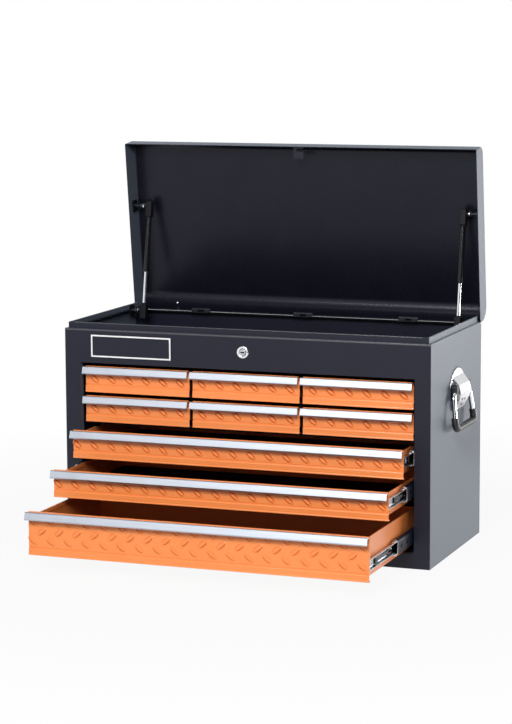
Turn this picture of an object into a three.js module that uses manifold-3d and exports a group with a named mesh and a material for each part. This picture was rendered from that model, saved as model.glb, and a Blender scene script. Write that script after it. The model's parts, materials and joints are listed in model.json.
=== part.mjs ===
// A tool chest: a lift-up lid over a till, six small drawers and three wide drawers on ball slides.
// Millimetres, +Z up, +Y to the back. The origin is the middle of the underside.
import * as THREE from 'three';
import { mergeVertices } from 'three/addons/utils/BufferGeometryUtils.js';
import Module from 'manifold-3d';

const wasm = await Module();
wasm.setup();

// Case
const caseDepth = 309;
const caseSheet = 1.2;
const stileWidth = 28;
const bottomRail = 25;
const topRail = 59;
const neckInset = 5;
const neckRise = 10.5;
const hemDepth = 9;
const openingReturn = 12;
const backFlange = 10.5;

// Drawer fronts, from the bottom row up
const deepFace = 74;
const middleFace = 47.4;
const upperFace = 48.9;
const smallFace = 46;
const gapUnderDeep = 2;
const gapUnderMiddle = 4.6;
const gapUnderUpper = 6.1;
const gapUnderSmall = 6.2;
const gapBetweenSmall = 5.9;
const gapOverSmall = 6.9;
const smallFaceWidth = 194;
const smallRowCount = 2;
const columnCount = 3;
const columnGap = 6;
const sideGap = 5;

// Drawers
const drawerSheet = 1;
const wideDrawerLength = 270;
const smallDrawerLength = 255;
const frontRecess = 9.5;
const stripHeight = 9;
const stripLean = 3;
const bottomReturn = 8;
const floorRaise = 4.3;
const sideDrop = 6;
const smallBoxInset = 11;
const smallFlange = 7.5;
const lipReach = 11.3;
const trimSheet = 1.2;
const trimHeight = 13;
const trimLean = 4;
const trimCover = 8.5;
const trimLegReach = 7;
const trimShort = 2;

// How far the three wide drawers stand out, and how far the lid stands open
const deepOut = 235;
const middleOut = 135;
const upperOut = 55;
const lidOpenDegrees = 83;

// Ball slides
const slideSpace = 13;
const slideSheet = 1.2;
const slideLength = 250;
const slideRise = 24.8;
const outerSlideHeight = 31.6;
const midSlideHeight = 28.4;
const innerSlideHeight = 17.2;
const slideSetback = 16.5;
const midSlideSetback = 35;
const midSlideLength = 245;
const webGap = 0.4;
const outerLipReach = 6;
const midLipReach = 7;

// Frame inside the case
const postWidth = 26;
const frontPostSetback = 16.5;
const rearPostSetback = 234;
const shelfSetback = 14.5;
const shelfBackGap = 3;
const runnerLip = 11.4;
const runnerLength = 255;
const runningGap = 0.3;

// Lid
const lidSheet = 1.2;
const lidDepth = 43.5;
const lidFrontRadius = 17;
const lidRearRadius = 27;
const lidSeatGap = 0.5;
const arcSteps = 4;

// Hinges
const hingeSpacing = 198;
const hingeWidth = 36;
const hingeSheet = 1.1;
const knuckleRadius = 2.5;
const hingePinRadius = 1.2;
const hingeBoreRadius = 1.65;
const hingeSetback = 4.2;
const hingeRise = 1.5;
const backPanelDrop = 4.7;
const bodyLeafReach = 11.5;
const lidLeafReach = 18;
const knuckleGap = 0.3;
const knuckleWidthShare = 1 / 3;
const roundSides = 18;

// Gas struts
const strutInset = 32;
const strutLidReach = 186.3;
const strutLidRise = 21.5;
const strutBodyReach = 33.5;
const strutBodyDrop = 2.5;
const cylinderRadius = 5;
const cylinderBoreRadius = 3.6;
const rodRadius = 3;
const cylinderEnd = 121.5;
const rodStart = 82;
const endBlockWidth = 12;
const endBlockDepth = 14;
const blockBehindStud = 8.5;
const upperBlockLength = 20.5;
const lowerBlockLength = 12.7;
const blockPastStud = 15.5;
const studRadius = 3.2;
const studBoreRadius = 3.8;
const studPlate = 20;
const studSheet = 1.5;
const studEndSetback = 1;

// Lock and lid keeper
const lockBelowTop = 28;
const lockFlangeRadius = 10.2;
const lockFlangeThickness = 1.8;
const lockBarrelRadius = 9;
const lockBarrelDepth = 5;
const plugRadius = 6;
const plugProud = 0.6;
const lockGap = 0.3;
const tenonWidth = 6;
const camThickness = 2.5;
const camWidth = 6;
const camHubRadius = 8;
const noseLength = 5;
const noseHeight = 4.4;
const noseClearance = 0.6;
const keeperWidth = 19;
const keeperSheet = 1.2;
const keeperReach = 23;
const keeperLegHeight = 15;
const keeperOverNeck = 1.5;
const notchClearance = 1.5;
const notchSideGap = 0.5;

// Side handles
const handlePivotHeight = 280;
const handlePivotReach = 8;
const handlePlateSheet = 2;
const plateTopRise = 38;
const plateTongueDrop = 31;
const plateHalfWidth = 45;
const plateEarDrop = 13;
const plateEarRise = 15;
const plateLobeHalf = 25;
const plateTongueHalf = 13;
const barrelRadius = 6.2;
const barrelInner = 21;
const barrelOuter = 36;
const bailRadius = 4;
const bailBoreRadius = 4.5;
const bailTopHalf = 48;
const bailBottomHalf = 57.5;
const bailDrop = 59;
const bailLean = 7.5;
const bailBend = 11;
const gripRadius = 6;
const gripGap = 0.35;
const gripStartShare = 0.68;
const gripCutShare = 0.12;
const wireSides = 10;
const bendSteps = 4;

// What pieces share
const weld = 0.5;
const overrun = 4;

// Worked out from the sizes above
const openingWidth = 2 * sideGap + columnCount * smallFaceWidth + (columnCount - 1) * columnGap;
const openingHalf = openingWidth / 2;
const caseHalf = openingHalf + stileWidth;
const wideFaceHalf = openingHalf - sideGap;
const wideBoxHalf = openingHalf - slideSpace;
const columnPitch = smallFaceWidth + columnGap;
const smallFaceHalf = smallFaceWidth / 2;
const smallBoxHalf = smallFaceHalf - smallBoxInset;
const front = -caseDepth / 2;
const back = caseDepth / 2;
const frontInner = front + caseSheet;
const backInner = back - caseSheet;
const sideInner = caseHalf - caseSheet;

const deepBottom = bottomRail + gapUnderDeep;
const middleBottom = deepBottom + deepFace + gapUnderMiddle;
const upperBottom = middleBottom + middleFace + gapUnderUpper;
const shelfLow = upperBottom + upperFace + (gapUnderSmall - caseSheet) / 2;
const smallBottom = upperBottom + upperFace + gapUnderSmall;
const smallRowPitch = smallFace + gapBetweenSmall;
const openingTop = smallBottom + smallRowCount * smallRowPitch - gapBetweenSmall + gapOverSmall;
const ledgeHeight = openingTop + topRail;
const neckTop = ledgeHeight + neckRise;
const lockZ = ledgeHeight - lockBelowTop;
const tillFloorLow = openingTop + caseSheet;
const neckHalf = caseHalf - neckInset;
const neckSheet = 2 * caseSheet;
const neckFront = front + neckInset;

const hingeY = back - hingeSetback;
const hingeZ = ledgeHeight + hingeRise;
const backTop = hingeZ - backPanelDrop;
const lidAngle = THREE.MathUtils.degToRad(lidOpenDegrees);

const paint = new THREE.MeshStandardMaterial({ color: 0x23242a, roughness: 0.5, metalness: 0.2 });
const innerPaint = new THREE.MeshStandardMaterial({ color: 0x1a1b20, roughness: 0.6, metalness: 0.2 });
const orange = new THREE.MeshStandardMaterial({ color: 0xef5f1c, roughness: 0.35, metalness: 0.1 });
const aluminium = new THREE.MeshStandardMaterial({ color: 0xe4e5e8, roughness: 0.3, metalness: 0.9 });
const zinc = new THREE.MeshStandardMaterial({ color: 0xb4b8bf, roughness: 0.35, metalness: 0.9 });
const darkSteel = new THREE.MeshStandardMaterial({ color: 0x3a3c42, roughness: 0.4, metalness: 0.8 });
const chrome = new THREE.MeshStandardMaterial({ color: 0xdfe2e6, roughness: 0.12, metalness: 1 });
const rubber = new THREE.MeshStandardMaterial({ color: 0x17181a, roughness: 0.7, metalness: 0 });

const chest = new THREE.Group();

// A closed geometry as a solid that can be joined and cut
function solid(geometry) {
  geometry.deleteAttribute('normal');
  geometry.deleteAttribute('uv');
  const merged = mergeVertices(geometry);
  return new wasm.Manifold(new wasm.Mesh({
    numProp: 3,
    vertProperties: merged.attributes.position.array,
    triVerts: Uint32Array.from(merged.index.array),
  }));
}

function join(...pieces) {
  return pieces.reduce((whole, piece) => whole.add(piece));
}

function addPiece(name, piece, material, parent = chest) {
  const mesh = piece.getMesh();
  const geometry = new THREE.BufferGeometry();
  geometry.setAttribute('position', new THREE.BufferAttribute(mesh.vertProperties, 3));
  geometry.setIndex(new THREE.BufferAttribute(mesh.triVerts, 1));
  geometry.computeVertexNormals();
  const node = new THREE.Mesh(geometry, material);
  node.name = name;
  parent.add(node);
}

// A block between two values on each axis, given in either order
function block([x0, x1], [y0, y1], [z0, z1]) {
  const geometry = new THREE.BoxGeometry(Math.abs(x1 - x0), Math.abs(y1 - y0), Math.abs(z1 - z0));
  geometry.translate((x0 + x1) / 2, (y0 + y1) / 2, (z0 + z1) / 2);
  return solid(geometry);
}

// The directions that an outline's two axes and its length take for a prism along X, Y or Z
const prismAxes = {
  x: [new THREE.Vector3(0, 1, 0), new THREE.Vector3(0, 0, 1), new THREE.Vector3(1, 0, 0)],
  y: [new THREE.Vector3(1, 0, 0), new THREE.Vector3(0, 0, 1), new THREE.Vector3(0, -1, 0)],
  z: [new THREE.Vector3(1, 0, 0), new THREE.Vector3(0, 1, 0), new THREE.Vector3(0, 0, 1)],
};

// A straight prism: the outline is in YZ along X, in XZ along Y, or in XY along Z
function prism(axis, shape, end0, end1) {
  const low = Math.min(end0, end1);
  const high = Math.max(end0, end1);
  const settings = { depth: high - low, bevelEnabled: false, curveSegments: arcSteps };
  const geometry = new THREE.ExtrudeGeometry(shape, settings);
  geometry.applyMatrix4(new THREE.Matrix4().makeBasis(...prismAxes[axis]));
  const start = axis === 'y' ? high : low;
  geometry.translate(...['x', 'y', 'z'].map((name) => (name === axis ? start : 0)));
  return solid(geometry);
}

function outline(points) {
  return new THREE.Shape(points.map(([u, v]) => new THREE.Vector2(u, v)));
}

// The outline of folded sheet, whose thickness lies to the right of its path
function folded(path, thickness) {
  const points = path.map(([u, v]) => new THREE.Vector2(u, v));
  const sides = points.slice(1).map((point, i) => {
    const run = point.clone().sub(points[i]).normalize();
    return new THREE.Vector2(run.y, -run.x);
  });
  const inner = points.map((point, i) => {
    const before = sides[Math.max(i - 1, 0)];
    const after = sides[Math.min(i, sides.length - 1)];
    const shift = before.clone().add(after).multiplyScalar(thickness / (1 + before.dot(after)));
    return point.clone().add(shift);
  });
  return new THREE.Shape([...points, ...inner.reverse()]);
}

// A round bar along one axis, centred on the values of the other two axes in their order
function round(axis, radius, end0, end1, [u, v], sides = roundSides) {
  const geometry = new THREE.CylinderGeometry(radius, radius, Math.abs(end1 - end0), sides);
  const middle = (end0 + end1) / 2;
  if (axis === 'x') {
    geometry.rotateZ(Math.PI / 2);
    geometry.translate(middle, u, v);
  }
  if (axis === 'y') {
    geometry.translate(u, middle, v);
  }
  if (axis === 'z') {
    geometry.rotateX(Math.PI / 2);
    geometry.translate(u, v, middle);
  }
  return solid(geometry);
}

// A wire bent at its corners, with stations only at its ends and round its bends
class BentWire extends THREE.Curve {
  constructor(corners, bend) {
    super();
    this.stations = corners.flatMap((corner, i) => {
      if (i === 0 || i === corners.length - 1) {
        return [corner];
      }
      const start = corners[i - 1].clone().sub(corner).setLength(bend).add(corner);
      const end = corners[i + 1].clone().sub(corner).setLength(bend).add(corner);
      return new THREE.QuadraticBezierCurve3(start, corner, end).getPoints(bendSteps);
    });
  }

  get steps() {
    return this.stations.length - 1;
  }

  getPoint(t) {
    const place = t * this.steps;
    const index = Math.min(Math.floor(place), this.steps - 1);
    return this.stations[index].clone().lerp(this.stations[index + 1], place - index);
  }

  getPointAt(u) {
    return this.getPoint(u);
  }

  getTangentAt(u) {
    return this.getTangent(u);
  }
}

function wire(corners, bend, radius) {
  const path = new BentWire(corners, bend);
  const turns = Array.from({ length: wireSides }, (_, i) => (i / wireSides) * 2 * Math.PI);
  const ring = outline(turns.map((turn) => [radius * Math.cos(turn), radius * Math.sin(turn)]));
  return solid(new THREE.ExtrudeGeometry(ring, { steps: path.steps, extrudePath: path, bevelEnabled: false }));
}

// A channel of sheet whose web stands at one value of X and whose lips reach to another
function channel(webX, lipX, sheet, height, [y0, y1], middleZ) {
  const webInner = webX + Math.sign(lipX - webX) * sheet;
  const low = middleZ - height / 2;
  const high = middleZ + height / 2;
  return join(
    block([webX, webInner], [y0, y1], [low, high]),
    block([webX, lipX], [y0, y1], [low, low + sheet]),
    block([webX, lipX], [y0, y1], [high - sheet, high]),
  );
}

// Case: one wrapped sheet makes the sides and the underside, with a ledge and a hemmed neck on top
function buildCabinetShell() {
  const wrap = folded([
    [neckHalf, neckTop], [neckHalf, ledgeHeight], [caseHalf, ledgeHeight], [caseHalf, 0],
    [-caseHalf, 0], [-caseHalf, ledgeHeight], [-neckHalf, ledgeHeight], [-neckHalf, neckTop],
  ], caseSheet);
  const hems = [-1, 1].map((side) => block(
    [side * (neckHalf - caseSheet / 2), side * (neckHalf - neckSheet)],
    [frontInner, backInner],
    [neckTop - hemDepth, neckTop],
  ));
  const frontCorner = block(
    [-sideInner, sideInner],
    [front, neckFront + neckSheet],
    [ledgeHeight - caseSheet, neckTop + overrun],
  );
  const rearCorner = block(
    [-caseHalf - overrun, caseHalf + overrun],
    [hingeY - knuckleRadius, back],
    [backTop, neckTop + overrun],
  );
  return join(prism('y', wrap, frontInner, backInner), ...hems).subtract(frontCorner).subtract(rearCorner);
}

// One pressed sheet round the drawer opening, with its returns, the front ledge and the front neck
function buildFrontFrame() {
  const opening = block(
    [-openingHalf, openingHalf],
    [front - overrun, frontInner + openingReturn + overrun],
    [bottomRail, openingTop],
  );
  const plate = block([-caseHalf, caseHalf], [front, frontInner], [0, ledgeHeight]);
  const returns = block(
    [-openingHalf - caseSheet, openingHalf + caseSheet],
    [front, frontInner + openingReturn],
    [bottomRail - caseSheet, openingTop + caseSheet],
  );
  const ledge = block(
    [-sideInner, sideInner],
    [front, neckFront + neckSheet],
    [ledgeHeight - caseSheet, ledgeHeight],
  );
  const neck = block(
    [-neckHalf, neckHalf],
    [neckFront, neckFront + neckSheet],
    [ledgeHeight - caseSheet, neckTop],
  );
  const lockHole = round('y', lockBarrelRadius + lockGap, front - overrun, frontInner + overrun, [0, lockZ]);
  return join(plate, returns, ledge, neck).subtract(opening).subtract(lockHole);
}

// The back closes the case and folds forward under the hinges
function buildBackPanel() {
  const panel = block([-caseHalf, caseHalf], [backInner, back], [0, backTop]);
  const flange = block([-sideInner, sideInner], [backInner - backFlange, back], [backTop - caseSheet, backTop]);
  return panel.add(flange);
}

function buildTillFloor() {
  return block([-sideInner, sideInner], [frontInner, backInner], [tillFloorLow, tillFloorLow + caseSheet]);
}

// Inside frame: four posts, the shelf under the small drawers, their dividers and runners, and the
// fixed members of the six slides, which are riveted to the posts
function buildPost(side, setback) {
  const start = front + setback;
  const end = start + postWidth;
  const foot = caseSheet;
  return join(
    block([side * openingHalf, side * (openingHalf + caseSheet)], [start, end], [foot, tillFloorLow]),
    block([side * openingHalf, side * sideInner], [start, start + caseSheet], [foot, tillFloorLow]),
    block([side * openingHalf, side * sideInner], [end - caseSheet, end], [foot, tillFloorLow]),
  );
}

function buildRunner(wallX, inward, flangeTop) {
  const [y0, y1] = [front + shelfSetback, front + shelfSetback + runnerLength];
  const low = flangeTop - drawerSheet - runningGap - caseSheet;
  const high = flangeTop + runningGap + caseSheet;
  const wall = wallX - inward * caseSheet / 2;
  const edge = wallX + inward * runnerLip;
  return join(
    block([wall, wallX + inward * caseSheet], [y0, y1], [low, high]),
    block([wall, edge], [y0, y1], [low, low + caseSheet]),
    block([wall, edge], [y0, y1], [high - caseSheet, high]),
  );
}

function buildDrawerFrame() {
  const [shelfFront, shelfBack] = [front + shelfSetback, backInner - shelfBackGap];
  const shelfHalf = openingHalf + caseSheet / 2;
  const pieces = [block([-shelfHalf, shelfHalf], [shelfFront, shelfBack], [shelfLow, shelfLow + caseSheet])];
  const dividerHalf = caseSheet / 2;
  for (let i = 1; i < columnCount; i += 1) {
    const middle = (i - columnCount / 2) * columnPitch;
    pieces.push(block([middle - dividerHalf, middle + dividerHalf], [shelfFront, shelfBack], [shelfLow, tillFloorLow]));
  }
  for (let row = 0; row < smallRowCount; row += 1) {
    const flangeTop = smallBottom + row * smallRowPitch + smallFace - sideDrop;
    for (let i = 0; i <= columnCount; i += 1) {
      const middle = (i - columnCount / 2) * columnPitch;
      const outer = i === 0 || i === columnCount;
      const walls = outer ? [[Math.sign(middle) * openingHalf, -Math.sign(middle)]]
        : [[middle - dividerHalf, -1], [middle + dividerHalf, 1]];
      walls.forEach(([wallX, inward]) => {
        pieces.push(buildRunner(wallX, inward, flangeTop));
      });
    }
  }
  for (const side of [-1, 1]) {
    pieces.push(buildPost(side, frontPostSetback), buildPost(side, rearPostSetback));
    for (const bottom of [deepBottom, middleBottom, upperBottom]) {
      const y = [front + slideSetback, front + slideSetback + slideLength];
      const middleZ = bottom + slideRise;
      const half = outerSlideHeight / 2;
      pieces.push(
        channel(side * openingHalf, side * (openingHalf - outerLipReach), slideSheet, outerSlideHeight, y, middleZ),
        block([side * (openingHalf - weld), side * (openingHalf + weld)], y, [middleZ - half, middleZ + half]),
      );
    }
  }
  return join(...pieces);
}

// Drawers: a folded tray with its front; the front leans out in a strip along the bottom and folds
// forward into a lip at the top, over which the trim is clipped
const faceY = front + frontRecess + stripLean;
const faceInner = faceY + drawerSheet;

function buildDrawer({ centre, bottom, faceHeight, faceHalf, boxHalf, length, flange, out }) {
  const lipTop = bottom + faceHeight - trimSheet - runningGap;
  const lipLow = lipTop - drawerSheet;
  const faceSheet = folded([
    [front + frontRecess + bottomReturn, bottom],
    [front + frontRecess, bottom],
    [faceY, bottom + stripHeight],
    [faceY, lipLow],
    [faceY - lipReach, lipLow],
  ], drawerSheet);
  const [trayFront, trayBack] = [faceInner - weld, faceInner + length];
  const [trayLow, trayTop] = [bottom + floorRaise, bottom + faceHeight - sideDrop];
  const tray = block([-boxHalf, boxHalf], [trayFront, trayBack], [trayLow, trayTop]).subtract(block(
    [-boxHalf + drawerSheet, boxHalf - drawerSheet],
    [trayFront - overrun, trayBack - drawerSheet],
    [trayLow + drawerSheet, trayTop + overrun],
  ));
  const flanges = flange ? [-1, 1].map((side) => block(
    [side * (boxHalf - drawerSheet / 2), side * (boxHalf + flange)],
    [faceInner + runningGap, trayBack],
    [trayTop - drawerSheet, trayTop],
  )) : [];
  const drawer = join(prism('x', faceSheet, -faceHalf, faceHalf), tray, ...flanges);
  return drawer.translate(centre, -out, 0);
}

function buildTrim({ centre, bottom, faceHeight, faceHalf, out }) {
  const top = bottom + faceHeight;
  const legTop = top - trimSheet - runningGap - drawerSheet - runningGap;
  const apron = folded([
    [front - trimLean, top - trimHeight],
    [front, top],
    [front + trimCover, top],
  ], trimSheet);
  const half = faceHalf - trimShort;
  const legFront = front - trimLean * (top - legTop) / trimHeight + trimSheet / 2;
  const leg = block([-half, half], [legFront, legFront + trimLegReach], [legTop - trimSheet, legTop]);
  return join(prism('x', apron, -half, half), leg).translate(centre, -out, 0);
}

function addDrawer(name, drawer) {
  addPiece(name, buildDrawer(drawer), orange);
  addPiece(`${name}_trim`, buildTrim(drawer), aluminium);
}

// The middle and inner members of one ball slide; the middle one travels half as far as the drawer
function addSlide(name, side, bottom, out) {
  const middleZ = bottom + slideRise;
  const midWeb = openingHalf - slideSheet - webGap;
  const midFront = front + midSlideSetback - out / 2;
  const mid = channel(
    side * midWeb,
    side * (midWeb - midLipReach),
    slideSheet,
    midSlideHeight,
    [midFront, midFront + midSlideLength],
    middleZ,
  );
  const innerWeb = wideBoxHalf + runningGap;
  const innerFront = faceInner + runningGap - out;
  const inner = channel(
    side * innerWeb,
    side * (midWeb - slideSheet - runningGap),
    slideSheet,
    innerSlideHeight,
    [innerFront, innerFront + midSlideLength],
    middleZ,
  );
  addPiece(`${name}_mid`, mid, darkSteel);
  addPiece(`${name}_inner`, inner, zinc);
}

// Lid: a pan whose flanges close over the neck, drawn closed and measured from the hinge axis
const lidRim = lidSeatGap - hingeRise;
const lidFront = front - hingeY;
const lidBack = back - hingeY;
const lidTop = lidRim + lidDepth;

function lidOutline(inset) {
  const [frontRadius, rearRadius] = [lidFrontRadius - inset, lidRearRadius - inset];
  const [frontEdge, rearEdge, top] = [lidFront + inset, lidBack - inset, lidTop - inset];
  const low = lidRim - (inset > 0 ? overrun : 0);
  const shape = new THREE.Shape();
  shape.moveTo(frontEdge, low);
  shape.lineTo(frontEdge, top - frontRadius);
  shape.absarc(frontEdge + frontRadius, top - frontRadius, frontRadius, Math.PI, Math.PI / 2, true);
  shape.absarc(rearEdge - rearRadius, top - rearRadius, rearRadius, Math.PI / 2, 0, true);
  shape.lineTo(rearEdge, low);
  return shape;
}

function buildLid() {
  const outside = prism('x', lidOutline(0), -caseHalf, caseHalf);
  const inside = prism('x', lidOutline(lidSheet), -caseHalf + lidSheet, caseHalf - lidSheet);
  const rearRelief = block(
    [-caseHalf - overrun, caseHalf + overrun],
    [-knuckleRadius, lidBack + overrun],
    [lidRim - overrun, -lidRim],
  );
  return outside.subtract(inside).subtract(rearRelief);
}

// The keeper hangs a notched plate behind the front neck, where the lock's hook turns over it
const camFront = neckFront + neckSheet + lockGap;
const keeperLow = neckTop + keeperOverNeck;
const keeperTop = keeperLow + keeperSheet;

function buildKeeper() {
  const half = keeperWidth / 2;
  const start = lidFront + lidSheet + runningGap;
  const low = keeperLow - hingeZ;
  const plate = block([-half, half], [start, start + keeperReach], [low, low + keeperSheet]);
  const leg = block([-half, half], [start, start + keeperSheet], [low, low + keeperLegHeight]);
  const notch = block(
    [-camWidth / 2 - notchSideGap, half + overrun],
    [camFront - notchClearance - hingeY, camFront + camThickness + notchClearance - hingeY],
    [low - overrun, low + keeperSheet + overrun],
  );
  return join(plate, leg).subtract(notch);
}

// Hinges: the leaf on the case holds two knuckles and the pin, and the leaf on the lid one knuckle
function knuckleSpan(middleX, index) {
  const width = hingeWidth * knuckleWidthShare;
  const start = middleX - hingeWidth / 2 + index * width;
  const inset = index === 1 ? knuckleGap : 0;
  return [start + inset, start + width - inset];
}

function buildBodyLeaf(middleX) {
  const half = hingeWidth / 2;
  const riserFront = hingeY - knuckleRadius;
  const leaf = block(
    [middleX - half, middleX + half],
    [riserFront - bodyLeafReach, riserFront + hingeSheet],
    [backTop, backTop + hingeSheet],
  );
  const pin = round('x', hingePinRadius, middleX - half + weld, middleX + half - weld, [hingeY, hingeZ]);
  const knuckles = [0, 2].map((index) => {
    const span = knuckleSpan(middleX, index);
    const riser = block(span, [riserFront, riserFront + hingeSheet], [backTop, hingeZ]);
    return round('x', knuckleRadius, ...span, [hingeY, hingeZ]).add(riser);
  });
  return join(leaf, pin, ...knuckles);
}

function buildLidLeaf(middleX) {
  const half = hingeWidth / 2;
  const span = knuckleSpan(middleX, 1);
  const leafBack = lidBack - lidSheet - runningGap;
  const leafY = [leafBack - hingeSheet, leafBack];
  const leaf = block([middleX - half, middleX + half], leafY, [knuckleRadius + knuckleGap, lidLeafReach]);
  const neck = block(span, leafY, [0, knuckleRadius + weld]);
  const bore = round('x', hingeBoreRadius, middleX - half, middleX + half, [0, 0]);
  return join(leaf, neck, round('x', knuckleRadius, ...span, [0, 0])).subtract(bore);
}

// Gas struts, each drawn along its own length from the stud on the lid downwards
const strutX = caseHalf - strutInset;
const strutTop = new THREE.Vector2(-strutLidReach, strutLidRise).rotateAround(new THREE.Vector2(), -lidAngle);
const strutFoot = new THREE.Vector2(-strutBodyReach, -strutBodyDrop);
const strutRun = strutFoot.clone().sub(strutTop);
const strutLength = strutRun.length();
const strutTurn = Math.atan2(strutRun.x, -strutRun.y);

function endBlock(top, bottom) {
  return block([-endBlockWidth / 2, endBlockWidth / 2], [-endBlockDepth / 2, endBlockDepth / 2], [-bottom, -top]);
}

function buildStrutCylinder() {
  const tube = round('z', cylinderRadius, -cylinderEnd, -upperBlockLength + weld, [0, 0]);
  const bore = round('z', cylinderBoreRadius, -cylinderEnd - overrun, -upperBlockLength - cylinderRadius, [0, 0]);
  const studBore = round('x', studBoreRadius, -endBlockWidth, endBlockWidth, [0, 0]);
  return join(endBlock(-blockBehindStud, upperBlockLength), tube).subtract(bore).subtract(studBore);
}

function buildStrutRod() {
  const blockTop = strutLength - lowerBlockLength;
  const rod = round('z', rodRadius, -blockTop - weld, -rodStart, [0, 0]);
  return rod.add(endBlock(blockTop, strutLength + blockPastStud));
}

// A square plate seated on a wall, with its stud reaching in to the strut
function buildStud(side, wallX, studEnd, [y, z]) {
  const half = studPlate / 2;
  const face = wallX - studSheet;
  return join(
    block([side * wallX, side * face], [y - half, y + half], [z - half, z + half]),
    round('x', studRadius, side * (face + weld), side * studEnd, [y, z]),
  );
}

// Lock: a barrel with a flange, a plug that turns in it, and a hook on the plug's tenon
function buildLockHousing() {
  const flange = round('y', lockFlangeRadius, front - lockFlangeThickness, front, [0, lockZ]);
  const barrel = round('y', lockBarrelRadius, front - lockFlangeThickness, front + lockBarrelDepth, [0, lockZ]);
  const bore = round('y', plugRadius + lockGap, front - overrun, front + lockBarrelDepth + overrun, [0, lockZ]);
  return join(flange, barrel).subtract(bore);
}

function buildLockPlug() {
  const half = tenonWidth / 2;
  const plugBack = front + lockBarrelDepth;
  return join(
    round('y', plugRadius, front - lockFlangeThickness - plugProud, plugBack, [0, lockZ]),
    block([-half, half], [plugBack - weld, camFront + camThickness + weld], [lockZ - half, lockZ + half]),
  );
}

function buildLockCam() {
  const y = [camFront, camFront + camThickness];
  const half = camWidth / 2;
  const noseUnder = keeperTop + noseClearance - lockZ;
  const armEnd = noseUnder + noseHeight;
  const hole = tenonWidth / 2 + lockGap;
  return join(
    round('y', camHubRadius, ...y, [0, lockZ]),
    block([0, armEnd], y, [lockZ - half, lockZ + half]),
    block([noseUnder, armEnd], y, [lockZ, lockZ + half + noseLength]),
  ).subtract(block([-hole, hole], [y[0] - overrun, y[1] + overrun], [lockZ - hole, lockZ + hole]));
}

// Side handles: a riveted plate with two barrels, a wire bail that hangs in them, and its grip
const handleX = caseHalf + handlePivotReach;

function buildHandleBracket(side) {
  const x = [side * caseHalf, side * (caseHalf + handlePlateSheet)];
  const earRadius = (plateEarRise + plateEarDrop) / 2;
  const earMiddle = handlePivotHeight + (plateEarRise - plateEarDrop) / 2;
  const earY = plateHalfWidth - earRadius;
  const lobeZ = handlePivotHeight + plateTopRise - plateLobeHalf;
  const tongueZ = handlePivotHeight - plateTongueDrop + plateTongueHalf;
  const plate = join(
    block(x, [-earY, earY], [handlePivotHeight - plateEarDrop, handlePivotHeight + plateEarRise]),
    round('x', plateLobeHalf, ...x, [0, lobeZ]),
    round('x', plateTongueHalf, ...x, [0, tongueZ]),
    block(x, [-plateTongueHalf, plateTongueHalf], [tongueZ, handlePivotHeight]),
    ...[-1, 1].map((end) => round('x', earRadius, ...x, [end * earY, earMiddle])),
  );
  const barrels = [-1, 1].map((end) => {
    const y = [end * barrelInner, end * barrelOuter];
    return join(
      round('y', barrelRadius, ...y, [side * handleX, handlePivotHeight]),
      block([x[0], side * handleX], y, [handlePivotHeight - barrelRadius, handlePivotHeight + barrelRadius]),
    );
  });
  const bore = round('y', bailBoreRadius, -plateHalfWidth, plateHalfWidth, [side * handleX, handlePivotHeight]);
  return join(plate, ...barrels).subtract(bore);
}

function bailCorners(side) {
  const lean = side * bailLean;
  const points = [
    [0, -barrelInner, 0], [0, -bailTopHalf, 0], [lean, -bailBottomHalf, -bailDrop],
    [lean, bailBottomHalf, -bailDrop], [0, bailTopHalf, 0], [0, barrelInner, 0],
  ];
  return points.map(([x, y, z]) => new THREE.Vector3(side * handleX + x, y, handlePivotHeight + z));
}

function buildGrip(side) {
  const corners = bailCorners(side);
  const legs = (share) => [
    corners[1].clone().lerp(corners[2], share), corners[2], corners[3], corners[4].clone().lerp(corners[3], share),
  ];
  const gripBody = wire(legs(gripStartShare), bailBend, gripRadius);
  const hollow = wire(legs(gripStartShare - gripCutShare), bailBend, bailRadius + gripGap);
  return gripBody.subtract(hollow);
}

// The case and what is fixed to it
addPiece('cabinet_shell', buildCabinetShell(), paint);
addPiece('front_frame', buildFrontFrame(), paint);
addPiece('back_panel', buildBackPanel(), paint);
addPiece('till_floor', buildTillFloor(), innerPaint);
addPiece('drawer_frame', buildDrawerFrame(), innerPaint);

// The lid and what turns with it
const lidGroup = new THREE.Group();
lidGroup.position.set(0, hingeY, hingeZ);
lidGroup.rotation.x = -lidAngle;
chest.add(lidGroup);
addPiece('lid', buildLid(), paint, lidGroup);
addPiece('lid_keeper', buildKeeper(), darkSteel, lidGroup);

const hingePlaces = { left: -hingeSpacing, middle: 0, right: hingeSpacing };
for (const [place, x] of Object.entries(hingePlaces)) {
  addPiece(`hinge_${place}_body_leaf`, buildBodyLeaf(x), darkSteel);
  addPiece(`hinge_${place}_lid_leaf`, buildLidLeaf(x), darkSteel, lidGroup);
}

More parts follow.
